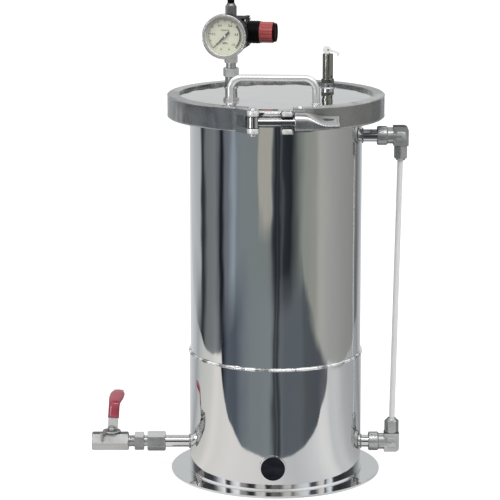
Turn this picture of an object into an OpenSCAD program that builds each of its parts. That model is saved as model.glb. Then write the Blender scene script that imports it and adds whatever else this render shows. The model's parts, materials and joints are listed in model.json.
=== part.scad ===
// Resin pressure pot: a stainless tank on a skirt, its lid held by a two-piece band clamp.
// Origin: centre of the underside of the base ring. +Z is up, -Y is the front, where the clamp
// closes. The drain valve is on the -X side and the level gauge on the +X side. Millimetres.

/* [Tank] */
// Inside diameter of the tank
tank_id = 240; // [236:1:244]
// Thickness of the shell, bottom and skirt sheet
sheet_t = 1.5; // [1.2:0.1:2]
// Height of the middle of the lid joint
joint_z = 531; // [520:1:560]
// Height of the top edge of the skirt
skirt_top_z = 176.5; // [165:0.5:200]
// Depth of the dished bottom
dish_depth = 54; // [45:1:56]

/* [Base] */
// Outside diameter of the base ring
base_od = 300; // [280:5:340]
// Inside diameter of the base ring
base_id = 220; // [200:5:230]
// Thickness of the base ring
base_t = 3; // [2:0.5:5]
// Diameter of the vent hole in the front of the skirt
vent_d = 34; // [24:1:40]
// Height of the centre of the vent hole
vent_z = 35; // [28:1:45]

/* [Lid and clamp] */
// Thickness of the lid in the middle
lid_t = 8; // [6:0.5:10]
// Outside diameter of the clamp band
band_od = 305; // [303:1:308]
// Height of the clamp band
band_h = 32; // [31:0.5:34]
// Diameter of the T-bolt rod
bolt_d = 12; // [10:0.5:12.5]
// Length of the wing nut
nut_l = 60.3; // [56:0.1:66]
// Distance between the handle's feet
handle_w = 118; // [100:2:130]
// Height of the handle above the lid
handle_h = 40; // [34:1:50]
// Diameter of the handle rod
handle_d = 10; // [8:0.5:12]

/* [Air line] */
// Height of the regulator's axis
regulator_z = 624; // [620:1:640]
// Side of the regulator body
regulator_w = 40; // [38:0.5:42]
// Diameter of the regulator knob
knob_d = 30; // [28:0.5:32]
// Diameter of the gauge's bezel
gauge_d = 64; // [58:1:66]
// Diameter of the air tube that pushes into the inlet
air_tube_d = 8; // [6:0.5:8]

/* [Drain and level gauge] */
// Height of the drain line
drain_z = 39.5; // [38:0.5:42]
// Outside diameter of the pipes
pipe_d = 17.3; // [16:0.1:17.5]
// Bore of the pipes
pipe_bore = 12.7; // [10:0.1:13.5]
// Width across flats of the ball valve's body
valve_af = 24; // [24:0.5:26]
// Height of the upper connection of the level gauge
level_z = 486.7; // [440:0.1:492]
// Outside diameter of the sight tube
sight_d = 8; // [6:0.5:8]

/* [Hidden] */
$fn = 48;

steel = "gainsboro";
dull = "darkgray";
black = "dimgray";
clear = 0.05;
over = 1;

// Tank and stand
tank_r = tank_id / 2;
shell_r = tank_r + sheet_t;
skirt_in = shell_r + clear;
skirt_out = skirt_in + sheet_t;
dish_z = 120;
rim_r = tank_r + 22.5;
wall_fn = 180;
pipe_r = pipe_d / 2;
pipe_hole = pipe_r + clear;
pipe_in = pipe_bore / 2;
vent_x = -4.5;
vent_lip = 1.8;

// Lid joint: both halves slope at the same rate from flat_r to rim_r
flat_r = tank_r + 14;
joint_h = 12.5;
slope = 0.41;
gasket_t = 1.6;
groove_r = tank_r + 9;
bead_r = 2;
rim_h = joint_h - slope * (rim_r - flat_r);
lid_top = joint_z + joint_h;
lid_under = lid_top - lid_t;
lid_step_r = tank_r - 2;
port_z = lid_under - 3;
lid_yaw = -3.5;
handle_y = -80;
handle_bend = 16;

// Band clamp
band_r = band_od / 2;
band_wall = 5.5;
band_lip = 16.5;
band_edge = 1.2;
band_gap = 0.15;
lip_r = band_r - band_lip;
wall_r = band_r - band_wall;
band_left_end = 253.6;
band_right_end = 279.05;
band_split = 0.75;
knuckle_r = 8;
knuckle_y = band_r + knuckle_r + 0.6;
knuckle_t = 7;
hinge_pin_r = 3.5;
lug_t = 8;
lug_r = 8.2;
bolt_x = -32.4;
bolt_y = -166;
bolt_r = bolt_d / 2;
eye_r = 8.6;
eye_h = 14.5;
bolt_pin_r = 3;
fork_x = 21.5;
fork_w = 16.5;
nut_x = 23.1;
nut_r = 13.5;
nut_sleeve = 19;
nut_twist = 20;
paddle_w = 30;
paddle_t = 6.5;
paddle_x = 38;
bolt_end = nut_x + 26;
rivet_x = 31;
rivet_y = -145.5;
rivet_r = 2;
rivet_depth = 4;

// Air line, in its own frame: x along the knob's axis, y into the depth, z up
air_x = -63.7;
air_y = 83;
air_yaw = -11;
nozzle_top = lid_top + 17;
locknut_z = lid_top + 16;
locknut_h = 12.5;
locknut_af = 20;
stem_r = 7;
stem_bore = 4.5;
stem_hex_z = 579;
stem_hex_h = 11;
stem_af = 17;
stem_foot = 4;
stem_in = 7;
body_r = regulator_w / 2;
body_low = regulator_z - body_r - 1;
body_top = regulator_z + body_r + 1;
flange_x = 18;
flange_w = 43;
bonnet_x = 25;
bonnet_r = 16;
bonnet_end = 43;
screw_r = 4;
drive_af = 7;
knob_x = bonnet_end + 0.2;
knob_end = 62;
cap_end = 66;
inlet_hex_z = body_top + 1.5;
inlet_tail_r = 6.55;
inlet_tail_l = 9;
gauge_thread_r = 5;
gauge_thread_l = 9;
inlet_top = body_top + 19.5;
ring_top = inlet_top + 7;
ring_r = 5;
ring_in = air_tube_d / 2 + 0.1;
ring_press = 1.5;
ring_seat = 7;

// Gauge, in its own frame: z points out of the dial
gauge_y = -25;
gauge_z = regulator_z - 2;
bezel_r = gauge_d / 2;
case_r = bezel_r - 2;
case_h = 22;
gauge_h = 27;
gauge_fn = 96;
block_r = 4.5;
block_h = 8;
case_t = 1.2;
case_back = 1.5;
seat_z = 17.5;
lens_z = 22.9;
lens_t = 2.1;
dial_z = 17;
dial_t = 0.8;
needle_z = 19.5;
needle_l = 22;
needle_zero = 225;
needle_shaft = 1;

// Relief valve
relief_x = 75.2;
relief_y = 82;
relief_hex_z = lid_top + 6.5;
relief_hex_h = 6;
relief_top = 592;
relief_r = 7.5;
relief_wall = 1.5;
relief_tail_r = 6;
relief_tail_l = 9;
relief_in = 5.2;
relief_cap_h = 6;
relief_pin_z = relief_top + 6;
spindle_r = 1.9;
relief_pin_r = 1.25;
cheek_y = 2.1;
cheek_t = 2.3;
cheek_r = 5.6;
relief_arm_l = 17.4;
relief_arm_drop = 22;

// Drain line
tee_r = 12;
tee_arm = 22;
socket_l = 9;
union_x = -158.6;
union_l = 26.1;
union_af = 25;
union_room_r = 10;
neck_r = 7.7;
neck_in = 10;
nipple_x = -189.8;
nipple_l = 13.5;
nipple_af = 23;
valve_x = -212;
valve_l = 52.8;
valve_mid = valve_x - valve_l / 2 + 2;
valve_top = drain_z + valve_af / 2;
valve_bore_r = 9.6;
ball_r = 9.2;
ball_bore = 5;
seat_t = 3.5;
outlet_r = 7.5;
outlet_l = 12;
valve_stem_r = 3.5;
tang_t = 3;
lever_plate_z = valve_top + 2;
lever_t = 2;
lever_w = 14.5;
lever_yaw = -8;
sleeve_w = 17;
sleeve_t = 5;
tab_angle = 227;

// Level gauge
elbow_top_x = 176;
elbow_low_x = 168;
elbow_w = 21.4;
elbow_h = 27;
elbow_d = 21;
elbow_round = 6;
collar_r = 13.4;
collar_l = 14.5;
elbow_neck_r = 11.4;
elbow_neck_l = 8.2;
elbow_reach = 22;
nut_seat_r = 5.5;
tube_nut_af = 18;
tube_nut_h = 18.5;

// Hollow round bar standing on z = 0
module tube(outer, inner, h) {
    difference() {
        cylinder(r = outer, h = h);
        translate([0, 0, -over])
            cylinder(r = inner, h = h + 2 * over);
    }
}

// Hexagonal prism standing on z = 0, with its corners turned off at both ends
module hex_bar(af, h, bevel = 1.2) {
    corner = af / 2 / cos(30);
    intersection() {
        cylinder(r = corner, h = h, $fn = 6);
        rotate_extrude()
            polygon([[0, 0], [corner - bevel, 0], [corner + 0.1, bevel], [corner + 0.1, h - bevel],
                [corner - bevel, h], [0, h]]);
    }
}

// Places children so that their +Z runs along +X
module to_right(x, z) {
    translate([x, 0, z])
        rotate([0, 90, 0])
            children();
}

// Places children so that their +Z runs along -X
module to_left(x, z) {
    translate([x, 0, z])
        rotate([0, -90, 0])
            children();
}

// Coil of round wire standing on z = 0: rings of points along a helix, skinned with triangles
module coil(radius, wire, h, turns) {
    per_turn = 12;
    sides = 6;
    steps = per_turn * turns;
    rise = (h - 2 * wire) / steps;
    points = [for (i = [0 : steps], j = [0 : sides - 1])
        let (a = 360 * i / per_turn, b = 360 * j / sides, r = radius + wire * cos(b))
            [r * cos(a), r * sin(a), wire + rise * i + wire * sin(b)]];
    skin = [for (i = [0 : steps - 1], j = [0 : sides - 1], half = [0, 1])
        let (p = i * sides + j, q = i * sides + (j + 1) % sides)
            half == 0 ? [p, q, q + sides] : [p, q + sides, p + sides]];
    start_cap = [for (j = [sides - 1 : -1 : 0]) j];
    end_cap = [for (j = [0 : sides - 1]) steps * sides + j];
    polyhedron(points = points, faces = concat([start_cap, end_cap], skin));
}

// Frame of the air line, on the axis of its stem
module air_frame() {
    translate([air_x, air_y, 0])
        rotate([0, 0, air_yaw])
            children();
}

// Frame of the regulator's knob: +Z runs along the knob's axis
module knob_frame(x) {
    air_frame()
        to_right(x, regulator_z)
            children();
}

// Frame of the gauge: +Z points out of the dial, +Y up
module gauge_frame() {
    air_frame()
        translate([0, gauge_y, gauge_z])
            rotate([90, 0, 0])
                children();
}

// Base ring
module base_ring() {
    color(steel)
        tube(base_od / 2, base_id / 2, base_t, $fn = wall_fn);
}

// Skirt: holds the tank on the base ring
module skirt() {
    color(steel)
        difference() {
            translate([0, 0, base_t])
                tube(skirt_out, skirt_in, skirt_top_z - base_t, $fn = wall_fn);
            translate([vent_x, 0, vent_z])
                rotate([90, 0, 0])
                    cylinder(r = vent_d / 2 + vent_lip + clear, h = skirt_out + over);
            to_right(0, drain_z)
                cylinder(r = pipe_hole, h = skirt_out + over);
            to_left(0, drain_z)
                cylinder(r = pipe_hole, h = skirt_out + over);
        }
}

// Bright rim set in the vent hole
module vent_rim() {
    color(steel)
        intersection() {
            translate([0, 0, base_t])
                tube(skirt_out + 1.6, skirt_in - 1, vent_z + vent_d, $fn = wall_fn);
            translate([vent_x, 0, vent_z])
                rotate([90, 0, 0])
                    tube(vent_d / 2 + vent_lip, vent_d / 2, skirt_out + 3 * over);
        }
}

// Points of a half ellipse from the axis to the rim, below z = 0
function dish_arc(r, depth, steps) =
    [for (i = [0 : steps]) [r * sin(90 * i / steps), -depth * cos(90 * i / steps)]];

// Dished bottom, with the hole of the tee in its middle
module tank_bottom() {
    steps = 20;
    inner = dish_arc(tank_r, dish_depth, steps);
    outer = dish_arc(shell_r, dish_depth + sheet_t, steps);
    reversed = [for (i = [steps : -1 : 0]) inner[i]];
    color(steel)
        difference() {
            translate([0, 0, dish_z])
                rotate_extrude($fn = wall_fn)
                    polygon(concat(outer, reversed));
            cylinder(r = pipe_hole, h = dish_z);
        }
}

// Cylindrical shell
module tank_shell() {
    color(steel)
        difference() {
            translate([0, 0, dish_z])
                tube(shell_r, tank_r, joint_z - joint_h - dish_z, $fn = wall_fn);
            to_right(0, level_z)
                cylinder(r = pipe_hole, h = shell_r + over);
        }
}

// Section of a clamped rim: from radius inner to rim_r, sloped on its outer side, joint face at z = 0
module rim_section(inner) {
    polygon([[inner, gasket_t / 2], [rim_r, gasket_t / 2], [rim_r, rim_h], [flat_r, joint_h],
        [inner, joint_h]]);
}

// Tank flange: the lower half of the joint
module tank_flange() {
    color(steel)
        translate([0, 0, joint_z])
            rotate_extrude($fn = wall_fn)
                difference() {
                    mirror([0, 1])
                        rim_section(tank_r);
                    translate([groove_r, 0])
                        circle(r = bead_r + clear);
                }
}

// Gasket with a round bead that sits in both grooves
module lid_gasket() {
    color("white")
        translate([0, 0, joint_z])
            rotate_extrude($fn = wall_fn) {
                translate([tank_r + 0.5, -gasket_t / 2 + 0.01])
                    square([rim_r - tank_r - 2, gasket_t - 0.02]);
                translate([groove_r, 0])
                    circle(r = bead_r);
            }
}

// Lid plate with its clamped rim and two ports
module lid_plate() {
    color(steel)
        difference() {
            union() {
                translate([0, 0, joint_z])
                    rotate_extrude($fn = wall_fn)
                        difference() {
                            rim_section(lid_step_r);
                            translate([groove_r, 0])
                                circle(r = bead_r + clear);
                        }
                translate([0, 0, lid_under])
                    cylinder(r = lid_step_r + over, h = lid_t, $fn = wall_fn);
            }
            translate([air_x, air_y, 0])
                cylinder(r = pipe_hole, h = lid_top + over);
            translate([relief_x, relief_y, 0])
                cylinder(r = relief_r + relief_wall + clear, h = lid_top + over);
        }
}

// Half of the handle, from the middle of its bar to one foot
module handle_half() {
    rod = handle_d / 2;
    bar_z = handle_h - rod;
    leg_x = handle_w / 2;
    translate([leg_x, 0, 0])
        cylinder(r = rod, h = bar_z - handle_bend);
    translate([leg_x - handle_bend, 0, bar_z - handle_bend])
        rotate([90, 0, 0])
            rotate_extrude(angle = 90)
                translate([handle_bend, 0])
                    circle(r = rod);
    translate([0, 0, bar_z])
        rotate([0, 90, 0])
            cylinder(r = rod, h = leg_x - handle_bend);
}

// Lid handle: one bent rod
module lid_handle() {
    color(steel)
        rotate([0, 0, lid_yaw])
            translate([0, handle_y, lid_top]) {
                handle_half();
                mirror([1, 0, 0])
                    handle_half();
            }
}

// Pipe stub of the air line
module air_nozzle() {
    color(steel)
        translate([air_x, air_y, port_z])
            tube(pipe_r, pipe_in, nozzle_top - port_z);
}

// Threaded socket of the relief valve
module relief_socket() {
    color(steel)
        translate([relief_x, relief_y, port_z])
            tube(relief_r + relief_wall, relief_tail_r + clear, relief_hex_z - port_z);
}

// V section of the clamp band, upper half
module band_half_section() {
    tip_z = joint_h - slope * (lip_r - flat_r) + band_gap;
    root_z = joint_h - slope * (wall_r - flat_r) + band_gap;
    top = band_h / 2;
    polygon([[lip_r, tip_z], [wall_r, root_z], [wall_r, -0.01], [band_r, -0.01],
        [band_r, top - band_edge], [band_r - band_edge, top], [lip_r + band_edge / 2, top],
        [lip_r, top - band_edge / 2]]);
}

// Arc of the clamp band
module band_arc(from, sweep) {
    translate([0, 0, joint_z])
        rotate_extrude(angle = sweep, start = from, $fn = wall_fn) {
            band_half_section();
            mirror([0, 1])
                band_half_section();
        }
}

// The two heights of the lug plates
function lug_levels() = [joint_z - band_h / 2, joint_z + band_h / 2 - lug_t];

// Knuckle of the rear hinge, on the side given by the sign
module knuckle(side, z, h) {
    difference() {
        union() {
            translate([0, knuckle_y, z])
                cylinder(r = knuckle_r, h = h);
            translate([side > 0 ? 1.2 : -knuckle_r, wall_r - 0.2, z])
                cube([knuckle_r - 1.2, knuckle_y - wall_r, h]);
        }
        translate([0, knuckle_y, z - over])
            cylinder(r = hinge_pin_r + clear, h = h + 2 * over);
    }
}

// Left half of the clamp band, with the two lugs that carry the T-bolt
module band_left() {
    low = joint_z - band_h / 2 + 1;
    high = joint_z + band_h / 2 - 1 - knuckle_t;
    color(dull) {
        band_arc(90 + band_split, band_left_end - 90 - band_split);
        knuckle(-1, low, knuckle_t);
        knuckle(-1, high, knuckle_t);
        for (z = lug_levels())
            difference() {
                translate([0, 0, z])
                    linear_extrude(lug_t) {
                        polygon([[-56, -139.5], [-41, -143.8], [bolt_x + lug_r, -157],
                            [bolt_x + lug_r, bolt_y], [bolt_x - lug_r, bolt_y], [-56, -147]]);
                        translate([bolt_x, bolt_y])
                            circle(r = lug_r);
                    }
                translate([bolt_x, bolt_y, z - over])
                    cylinder(r = bolt_pin_r + clear, h = lug_t + 2 * over);
            }
    }
}

// Right half of the clamp band, with the fork that the nut pulls on
module band_right() {
    mid_h = band_h - 2 * knuckle_t - 3;
    color(dull)
        difference() {
            union() {
                band_arc(band_right_end - 360, 450 - band_right_end - band_split);
                knuckle(1, joint_z - mid_h / 2, mid_h);
                for (z = lug_levels())
                    translate([0, 0, z])
                        linear_extrude(lug_t)
                            polygon([[fork_x - fork_w, -158], [fork_x - fork_w, bolt_y - 6],
                                [fork_x - fork_w + 2, bolt_y - 8], [fork_x - 2, bolt_y - 8],
                                [fork_x, bolt_y - 6], [fork_x, -152.8], [38, -151], [38, -144],
                                [24.5, -147.5]]);
            }
            translate([rivet_x, rivet_y, joint_z + band_h / 2 - rivet_depth])
                cylinder(r = rivet_r + clear, h = rivet_depth + over);
        }
}

// Hinge pin at the back of the clamp band
module band_hinge_pin() {
    head_r = hinge_pin_r + 1.5;
    head_in = 0.9;
    low_head = 1.2;
    high_head = 1.5;
    color(steel)
        translate([0, knuckle_y, joint_z - band_h / 2]) {
            cylinder(r = hinge_pin_r, h = band_h);
            translate([0, 0, -low_head])
                cylinder(r = head_r, h = low_head + head_in);
            translate([0, 0, band_h - head_in])
                cylinder(r = head_r, h = high_head + head_in);
        }
}

// Rivet on top of the fork
module fork_rivet() {
    color(steel)
        translate([rivet_x, rivet_y, joint_z + band_h / 2 - rivet_depth]) {
            cylinder(r = rivet_r, h = rivet_depth + over);
            translate([0, 0, rivet_depth])
                cylinder(r1 = rivet_r + 1.4, r2 = rivet_r + 0.2, h = 2.2);
        }
}

// Pin of the T-bolt
module t_bolt_pin() {
    head_r = bolt_pin_r + 1;
    head_h = 3;
    color(steel)
        translate([bolt_x, bolt_y, joint_z - band_h / 2 - head_h]) {
            cylinder(r = bolt_pin_r, h = band_h + head_h + over);
            cylinder(r = head_r, h = head_h);
            translate([0, 0, band_h + head_h])
                cylinder(r1 = head_r, r2 = bolt_pin_r, h = head_h + 0.2);
        }
}

// T-bolt: an eye on the pin and a rod through the fork
module t_bolt() {
    color(steel)
        difference() {
            union() {
                translate([bolt_x, bolt_y, joint_z - eye_h / 2])
                    cylinder(r = eye_r, h = eye_h);
                translate([bolt_x, bolt_y, joint_z])
                    rotate([0, 90, 0])
                        cylinder(r = bolt_r, h = bolt_end - bolt_x);
            }
            translate([bolt_x, bolt_y, joint_z - eye_h])
                cylinder(r = bolt_pin_r + clear, h = 2 * eye_h);
        }
}

// Wing nut: a tube whose outer end is pressed flat, with a slot in the flat
module wing_nut() {
    neck = 0.5;
    slot_r = 4.5;
    color(steel)
        translate([nut_x, bolt_y, joint_z])
            rotate([0, 90, 0])
                rotate([0, 0, nut_twist])
                    difference() {
                        union() {
                            cylinder(r = nut_r, h = nut_sleeve);
                            hull($fn = 32) {
                                translate([0, 0, nut_sleeve - 2])
                                    cylinder(r = nut_r - neck, h = 2.5);
                                translate([-paddle_t / 2 + neck, -paddle_w / 2 + neck, paddle_x])
                                    cube([paddle_t - 2 * neck, paddle_w - 2 * neck, 3]);
                            }
                            translate([-paddle_t / 2, -paddle_w / 2, paddle_x + 1])
                                cube([paddle_t, paddle_w, nut_l - paddle_x - 1]);
                        }
                        translate([0, 0, -over])
                            cylinder(r = bolt_r + clear, h = bolt_end - nut_x + 2 * over);
                        hull($fn = 32)
                            for (end = [2, 11])
                                translate([0, 0, paddle_x + end])
                                    rotate([0, 90, 0])
                                        cylinder(r = slot_r, h = 4 * paddle_t, center = true);
                    }
}

// Nut that holds the air stem on its nozzle
module air_locknut() {
    seat = nozzle_top - locknut_z;
    color(steel)
        air_frame()
            translate([0, 0, locknut_z])
                difference() {
                    hex_bar(locknut_af, locknut_h);
                    translate([0, 0, -over])
                        cylinder(r = pipe_hole, h = seat + stem_foot + over);
                    cylinder(r = stem_r + clear, h = locknut_h + over);
                }
}

// Stem between the lid and the regulator
module air_stem() {
    color(steel)
        air_frame()
            difference() {
                union() {
                    translate([0, 0, nozzle_top])
                        cylinder(r = pipe_r, h = stem_foot - 0.1);
                    translate([0, 0, nozzle_top])
                        cylinder(r = stem_r, h = body_low + stem_in - nozzle_top);
                    translate([0, 0, stem_hex_z])
                        hex_bar(stem_af, stem_hex_h);
                }
                cylinder(r = stem_bore, h = body_top);
            }
}

// Regulator body with its air passages
module regulator_body() {
    poppet_r = 6;
    room_r = 13;
    room_l = 11;
    gauge_port_r = 2;
    color(black)
        air_frame()
            difference() {
                union() {
                    translate([-body_r, -body_r, body_low])
                        cube([body_r + flange_x, regulator_w, body_top - body_low]);
                    translate([flange_x, -flange_w / 2, regulator_z - flange_w / 2])
                        cube([bonnet_x - 1.5 - flange_x, flange_w, flange_w]);
                }
                translate([0, 0, body_low - over])
                    cylinder(r = stem_r + clear, h = stem_in + 2 * over);
                translate([0, 0, body_low])
                    cylinder(r = stem_bore, h = body_top - body_low);
                translate([0, 0, body_top - inlet_tail_l - 3])
                    cylinder(r = inlet_tail_r + clear, h = inlet_tail_l + 3 + over);
                to_right(-poppet_r * 2, regulator_z)
                    cylinder(r = poppet_r, h = 2 * body_r);
                to_right(bonnet_x - room_l, regulator_z)
                    cylinder(r = room_r, h = 2 * body_r);
                translate([0, 0, gauge_z])
                    rotate([90, 0, 0])
                        cylinder(r = gauge_port_r, h = body_r + over);
                translate([0, -body_r + gauge_thread_l + over, gauge_z])
                    rotate([90, 0, 0])
                        cylinder(r = gauge_thread_r + clear, h = body_r);
            }
}

// Diaphragm between the regulator's body and bonnet
module regulator_diaphragm() {
    color("sienna")
        knob_frame(bonnet_x - 1.45)
            cylinder(r = bonnet_r - 0.1, h = 1.4);
}

// Range spring inside the bonnet
module regulator_spring() {
    color(steel)
        knob_frame(bonnet_x + 0.1)
            coil(7.5, 0.9, 10.7, 5);
}

// Bonnet that holds the range spring
module regulator_bonnet() {
    h = bonnet_end - bonnet_x;
    color(black)
        knob_frame(bonnet_x)
            difference() {
                cylinder(r = bonnet_r, h = h);
                translate([0, 0, -over])
                    cylinder(r = bonnet_r - 3.5, h = h - 3 + over);
                cylinder(r = screw_r + clear, h = h + over);
            }
}

// Adjusting screw with its spring plate and the hexagon that the knob turns
module adjusting_screw() {
    plate_x = 36;
    plate_r = 9;
    plate_t = 2.5;
    drive_x = 52;
    color(steel)
        knob_frame(0) {
            translate([0, 0, plate_x])
                cylinder(r = plate_r, h = plate_t);
            translate([0, 0, plate_x - 2])
                cylinder(r = screw_r, h = drive_x - plate_x + 2);
            translate([0, 0, drive_x])
                cylinder(r = drive_af / 2 / cos(30), h = knob_end - over - drive_x, $fn = 6);
        }
}

// Knob, which slides on the screw's hexagon
module regulator_knob() {
    ribs = 18;
    rib_r = 1.1;
    rib_low = 2.5;
    hollow_h = 9;
    h = knob_end - knob_x;
    color("firebrick")
        knob_frame(knob_x)
            difference() {
                cylinder(r = knob_d / 2, h = h);
                for (i = [0 : ribs - 1])
                    rotate([0, 0, i * 360 / ribs])
                        translate([knob_d / 2 + 0.5, 0, rib_low])
                            cylinder(r = rib_r, h = h);
                translate([0, 0, -over])
                    cylinder(r = knob_d / 2 - 2.5, h = hollow_h + over);
                cylinder(r = (drive_af / 2 + clear) / cos(30), h = h + over, $fn = 6);
            }
}

// Dark cap on the end of the knob
module knob_cap() {
    color("maroon")
        knob_frame(knob_end)
            difference() {
                cylinder(r = knob_d / 2 - 1.75, h = cap_end - knob_end);
                translate([0, 0, 3])
                    cylinder(r = knob_d / 2 - 4, h = cap_end);
            }
}

// Push-in fitting for the air tube
module inlet_fitting() {
    low = body_top - inlet_tail_l;
    hex_af = 14.5;
    cone_h = 3;
    way_r = 3;
    long = 2 * inlet_tail_l + inlet_top - inlet_hex_z;
    color(dull)
        air_frame()
            difference() {
                union() {
                    translate([0, 0, low])
                        cylinder(r = inlet_tail_r, h = inlet_hex_z - low + over);
                    translate([0, 0, inlet_hex_z])
                        hex_bar(hex_af, inlet_top - cone_h - inlet_hex_z);
                    translate([0, 0, inlet_top - cone_h])
                        cylinder(r1 = hex_af / 2 - 0.25, r2 = ring_r + 0.8, h = cone_h);
                }
                translate([0, 0, low - over])
                    cylinder(r = way_r, h = long);
                translate([0, 0, inlet_hex_z])
                    cylinder(r = air_tube_d / 2 + clear, h = long);
                translate([0, 0, inlet_top - ring_seat])
                    cylinder(r = ring_r + clear, h = long);
            }
}

// Ring that is pressed down to let the air tube go
module release_ring() {
    low = inlet_top - ring_seat + ring_press + 0.2;
    color(black)
        air_frame()
            difference() {
                translate([0, 0, low])
                    cylinder(r = ring_r, h = ring_top - low);
                cylinder(r = ring_in, h = ring_top + over);
            }
}

// Gauge socket: thread, hexagon and the block that feeds the Bourdon tube
module gauge_socket() {
    gap = -gauge_y - body_r;
    hex_af = 14;
    feed_r = 1.2;
    color("darkkhaki")
        gauge_frame()
            difference() {
                union() {
                    translate([0, 0, -gap - gauge_thread_l])
                        cylinder(r = gauge_thread_r, h = gauge_thread_l + gap);
                    translate([0, 0, -gap + clear])
                        hex_bar(hex_af, gap - 2 * clear, 0.8);
                    cylinder(r = block_r, h = block_h);
                }
                translate([0, 0, -gap - gauge_thread_l - over])
                    cylinder(r = feed_r, h = gauge_thread_l + gap + over + block_h - 2);
            }
}

// Case of the gauge
module gauge_case() {
    color(steel)
        gauge_frame()
            difference() {
                cylinder(r = case_r, h = case_h, $fn = gauge_fn);
                translate([0, 0, case_back])
                    cylinder(r = case_r - case_t, h = case_h, $fn = gauge_fn);
                translate([0, 0, -over])
                    cylinder(r = block_r + clear, h = case_back + 2 * over);
            }
}

// Bezel that holds the lens
module gauge_bezel() {
    bevel = 1.5;
    lens_top = lens_z + lens_t + 0.1;
    color(steel)
        gauge_frame()
            rotate_extrude($fn = gauge_fn)
                polygon([[case_r + clear, seat_z], [bezel_r, seat_z], [bezel_r, gauge_h - bevel],
                    [bezel_r - bevel, gauge_h], [case_r - 2.2, gauge_h], [case_r - 2.8, lens_top],
                    [case_r - 0.9, lens_top], [case_r - 0.9, lens_z - 0.3],
                    [case_r + clear, lens_z - 0.8]]);
}

// Lens of the gauge
module gauge_lens() {
    color("white", 0.3)
        gauge_frame()
            translate([0, 0, lens_z])
                cylinder(r = case_r - 1, h = lens_t, $fn = gauge_fn);
}

// Dial of the gauge
module gauge_dial() {
    color("beige")
        gauge_frame()
            translate([0, 0, dial_z])
                tube(case_r - case_t - 0.1, needle_shaft + clear, dial_t, $fn = gauge_fn);
}

// Needle, at zero: it points down and to the left
module gauge_needle() {
    shaft_low = 11;
    hub_r = 2.2;
    tail_l = 9;
    tail_w = 1.5;
    tip_w = 0.35;
    color("black")
        gauge_frame() {
            translate([0, 0, shaft_low])
                cylinder(r = needle_shaft, h = needle_z - shaft_low);
            translate([0, 0, needle_z - 1])
                cylinder(r = hub_r, h = 2);
            translate([0, 0, needle_z])
                linear_extrude(0.6)
                    rotate([0, 0, needle_zero])
                        polygon([[-tail_l, -tail_w], [-tail_l, tail_w], [-2, tail_w], [needle_l, tip_w],
                            [needle_l, -tip_w], [-2, -tail_w]]);
        }
}

// Bourdon tube: the curved spring tube that turns the needle
module bourdon_tube() {
    radius = 19;
    wall = 1.6;
    height = 4;
    foot_w = 3;
    color("goldenrod")
        gauge_frame()
            translate([0, 0, block_r]) {
                rotate_extrude(angle = 250, start = 270)
                    translate([radius, 0])
                        square([wall, height]);
                translate([-foot_w / 2, -radius - wall, 0])
                    cube([foot_w, radius + wall - block_r - 0.1, foot_w]);
            }
}

// Body of the relief valve, with the hexagon that it is screwed in by
module relief_body() {
    way_r = 2.5;
    vent_r = 1.5;
    color(black)
        translate([relief_x, relief_y, 0])
            difference() {
                union() {
                    translate([0, 0, relief_hex_z - relief_tail_l])
                        cylinder(r = relief_tail_r, h = relief_tail_l + over);
                    translate([0, 0, relief_hex_z])
                        hex_bar(16, relief_hex_h, 0.8);
                    translate([0, 0, relief_hex_z + 1])
                        cylinder(r = relief_r, h = relief_top - relief_hex_z - 1);
                }
                translate([0, 0, relief_hex_z - relief_tail_l - over])
                    cylinder(r = way_r, h = 2 * relief_tail_l);
                translate([0, 0, relief_hex_z + relief_hex_h])
                    cylinder(r = relief_in, h = relief_top);
                for (i = [0 : 1])
                    translate([0, 0, relief_hex_z + relief_hex_h + 4])
                        rotate([90, 0, 45 + 90 * i])
                            cylinder(r = vent_r, h = 3 * relief_r, center = true);
            }
}

// Plug that closes the relief valve and guides its spindle
module relief_cap() {
    color(dull)
        translate([relief_x, relief_y, relief_top - relief_cap_h])
            tube(relief_in - clear, spindle_r + clear, relief_cap_h);
}

// Spindle of the relief valve: disc, rod and the tongue that the lever's pin goes through
module relief_spindle() {
    low = relief_hex_z + relief_hex_h + 0.05;
    color(steel)
        translate([relief_x, relief_y, 0])
            difference() {
                union() {
                    translate([0, 0, low])
                        cylinder(r = relief_in - 0.4, h = 2.5);
                    translate([0, 0, low])
                        cylinder(r = spindle_r, h = relief_pin_z - low);
                    translate([-3, -spindle_r, relief_pin_z - 4.6])
                        cube([6, 2 * spindle_r, 4.6]);
                    translate([0, 0, relief_pin_z])
                        rotate([90, 0, 0])
                            cylinder(r = 3, h = 2 * spindle_r, center = true);
                }
                translate([0, 0, relief_pin_z])
                    rotate([90, 0, 0])
                        cylinder(r = relief_pin_r + clear, h = 20, center = true);
            }
}

// Spring that keeps the relief valve shut
module relief_spring() {
    low = relief_hex_z + relief_hex_h + 2.7;
    color(steel)
        translate([relief_x, relief_y, low])
            coil(3.6, 0.6, relief_top - relief_cap_h - 0.1 - low, 7);
}

// Lever of the relief valve: two cheeks around the tongue, joined by the arm
module relief_lever() {
    arm_w = 2 * (cheek_y + cheek_t) + 0.4;
    color("whitesmoke")
        translate([relief_x, relief_y, relief_pin_z])
            rotate([90, 0, 0])
                difference() {
                    union() {
                        for (side = [-1, 1])
                            translate([0, 0, side * (cheek_y + cheek_t / 2) - cheek_t / 2])
                                linear_extrude(cheek_t) {
                                    translate([-1.5, 0])
                                        circle(r = cheek_r);
                                    rotate(-relief_arm_drop)
                                        translate([0, -1])
                                            square([8, 3]);
                                }
                        rotate([0, 0, -relief_arm_drop])
                            translate([0, 0, -arm_w / 2])
                                linear_extrude(arm_w)
                                    polygon([[6.5, 0.2], [relief_arm_l - 2, 0.2], [relief_arm_l - 2, -2.5],
                                        [relief_arm_l, -2.5], [relief_arm_l, 2.3], [6.5, 2.3]]);
                    }
                    cylinder(r = relief_pin_r + clear, h = 20, center = true);
                }
}

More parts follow.
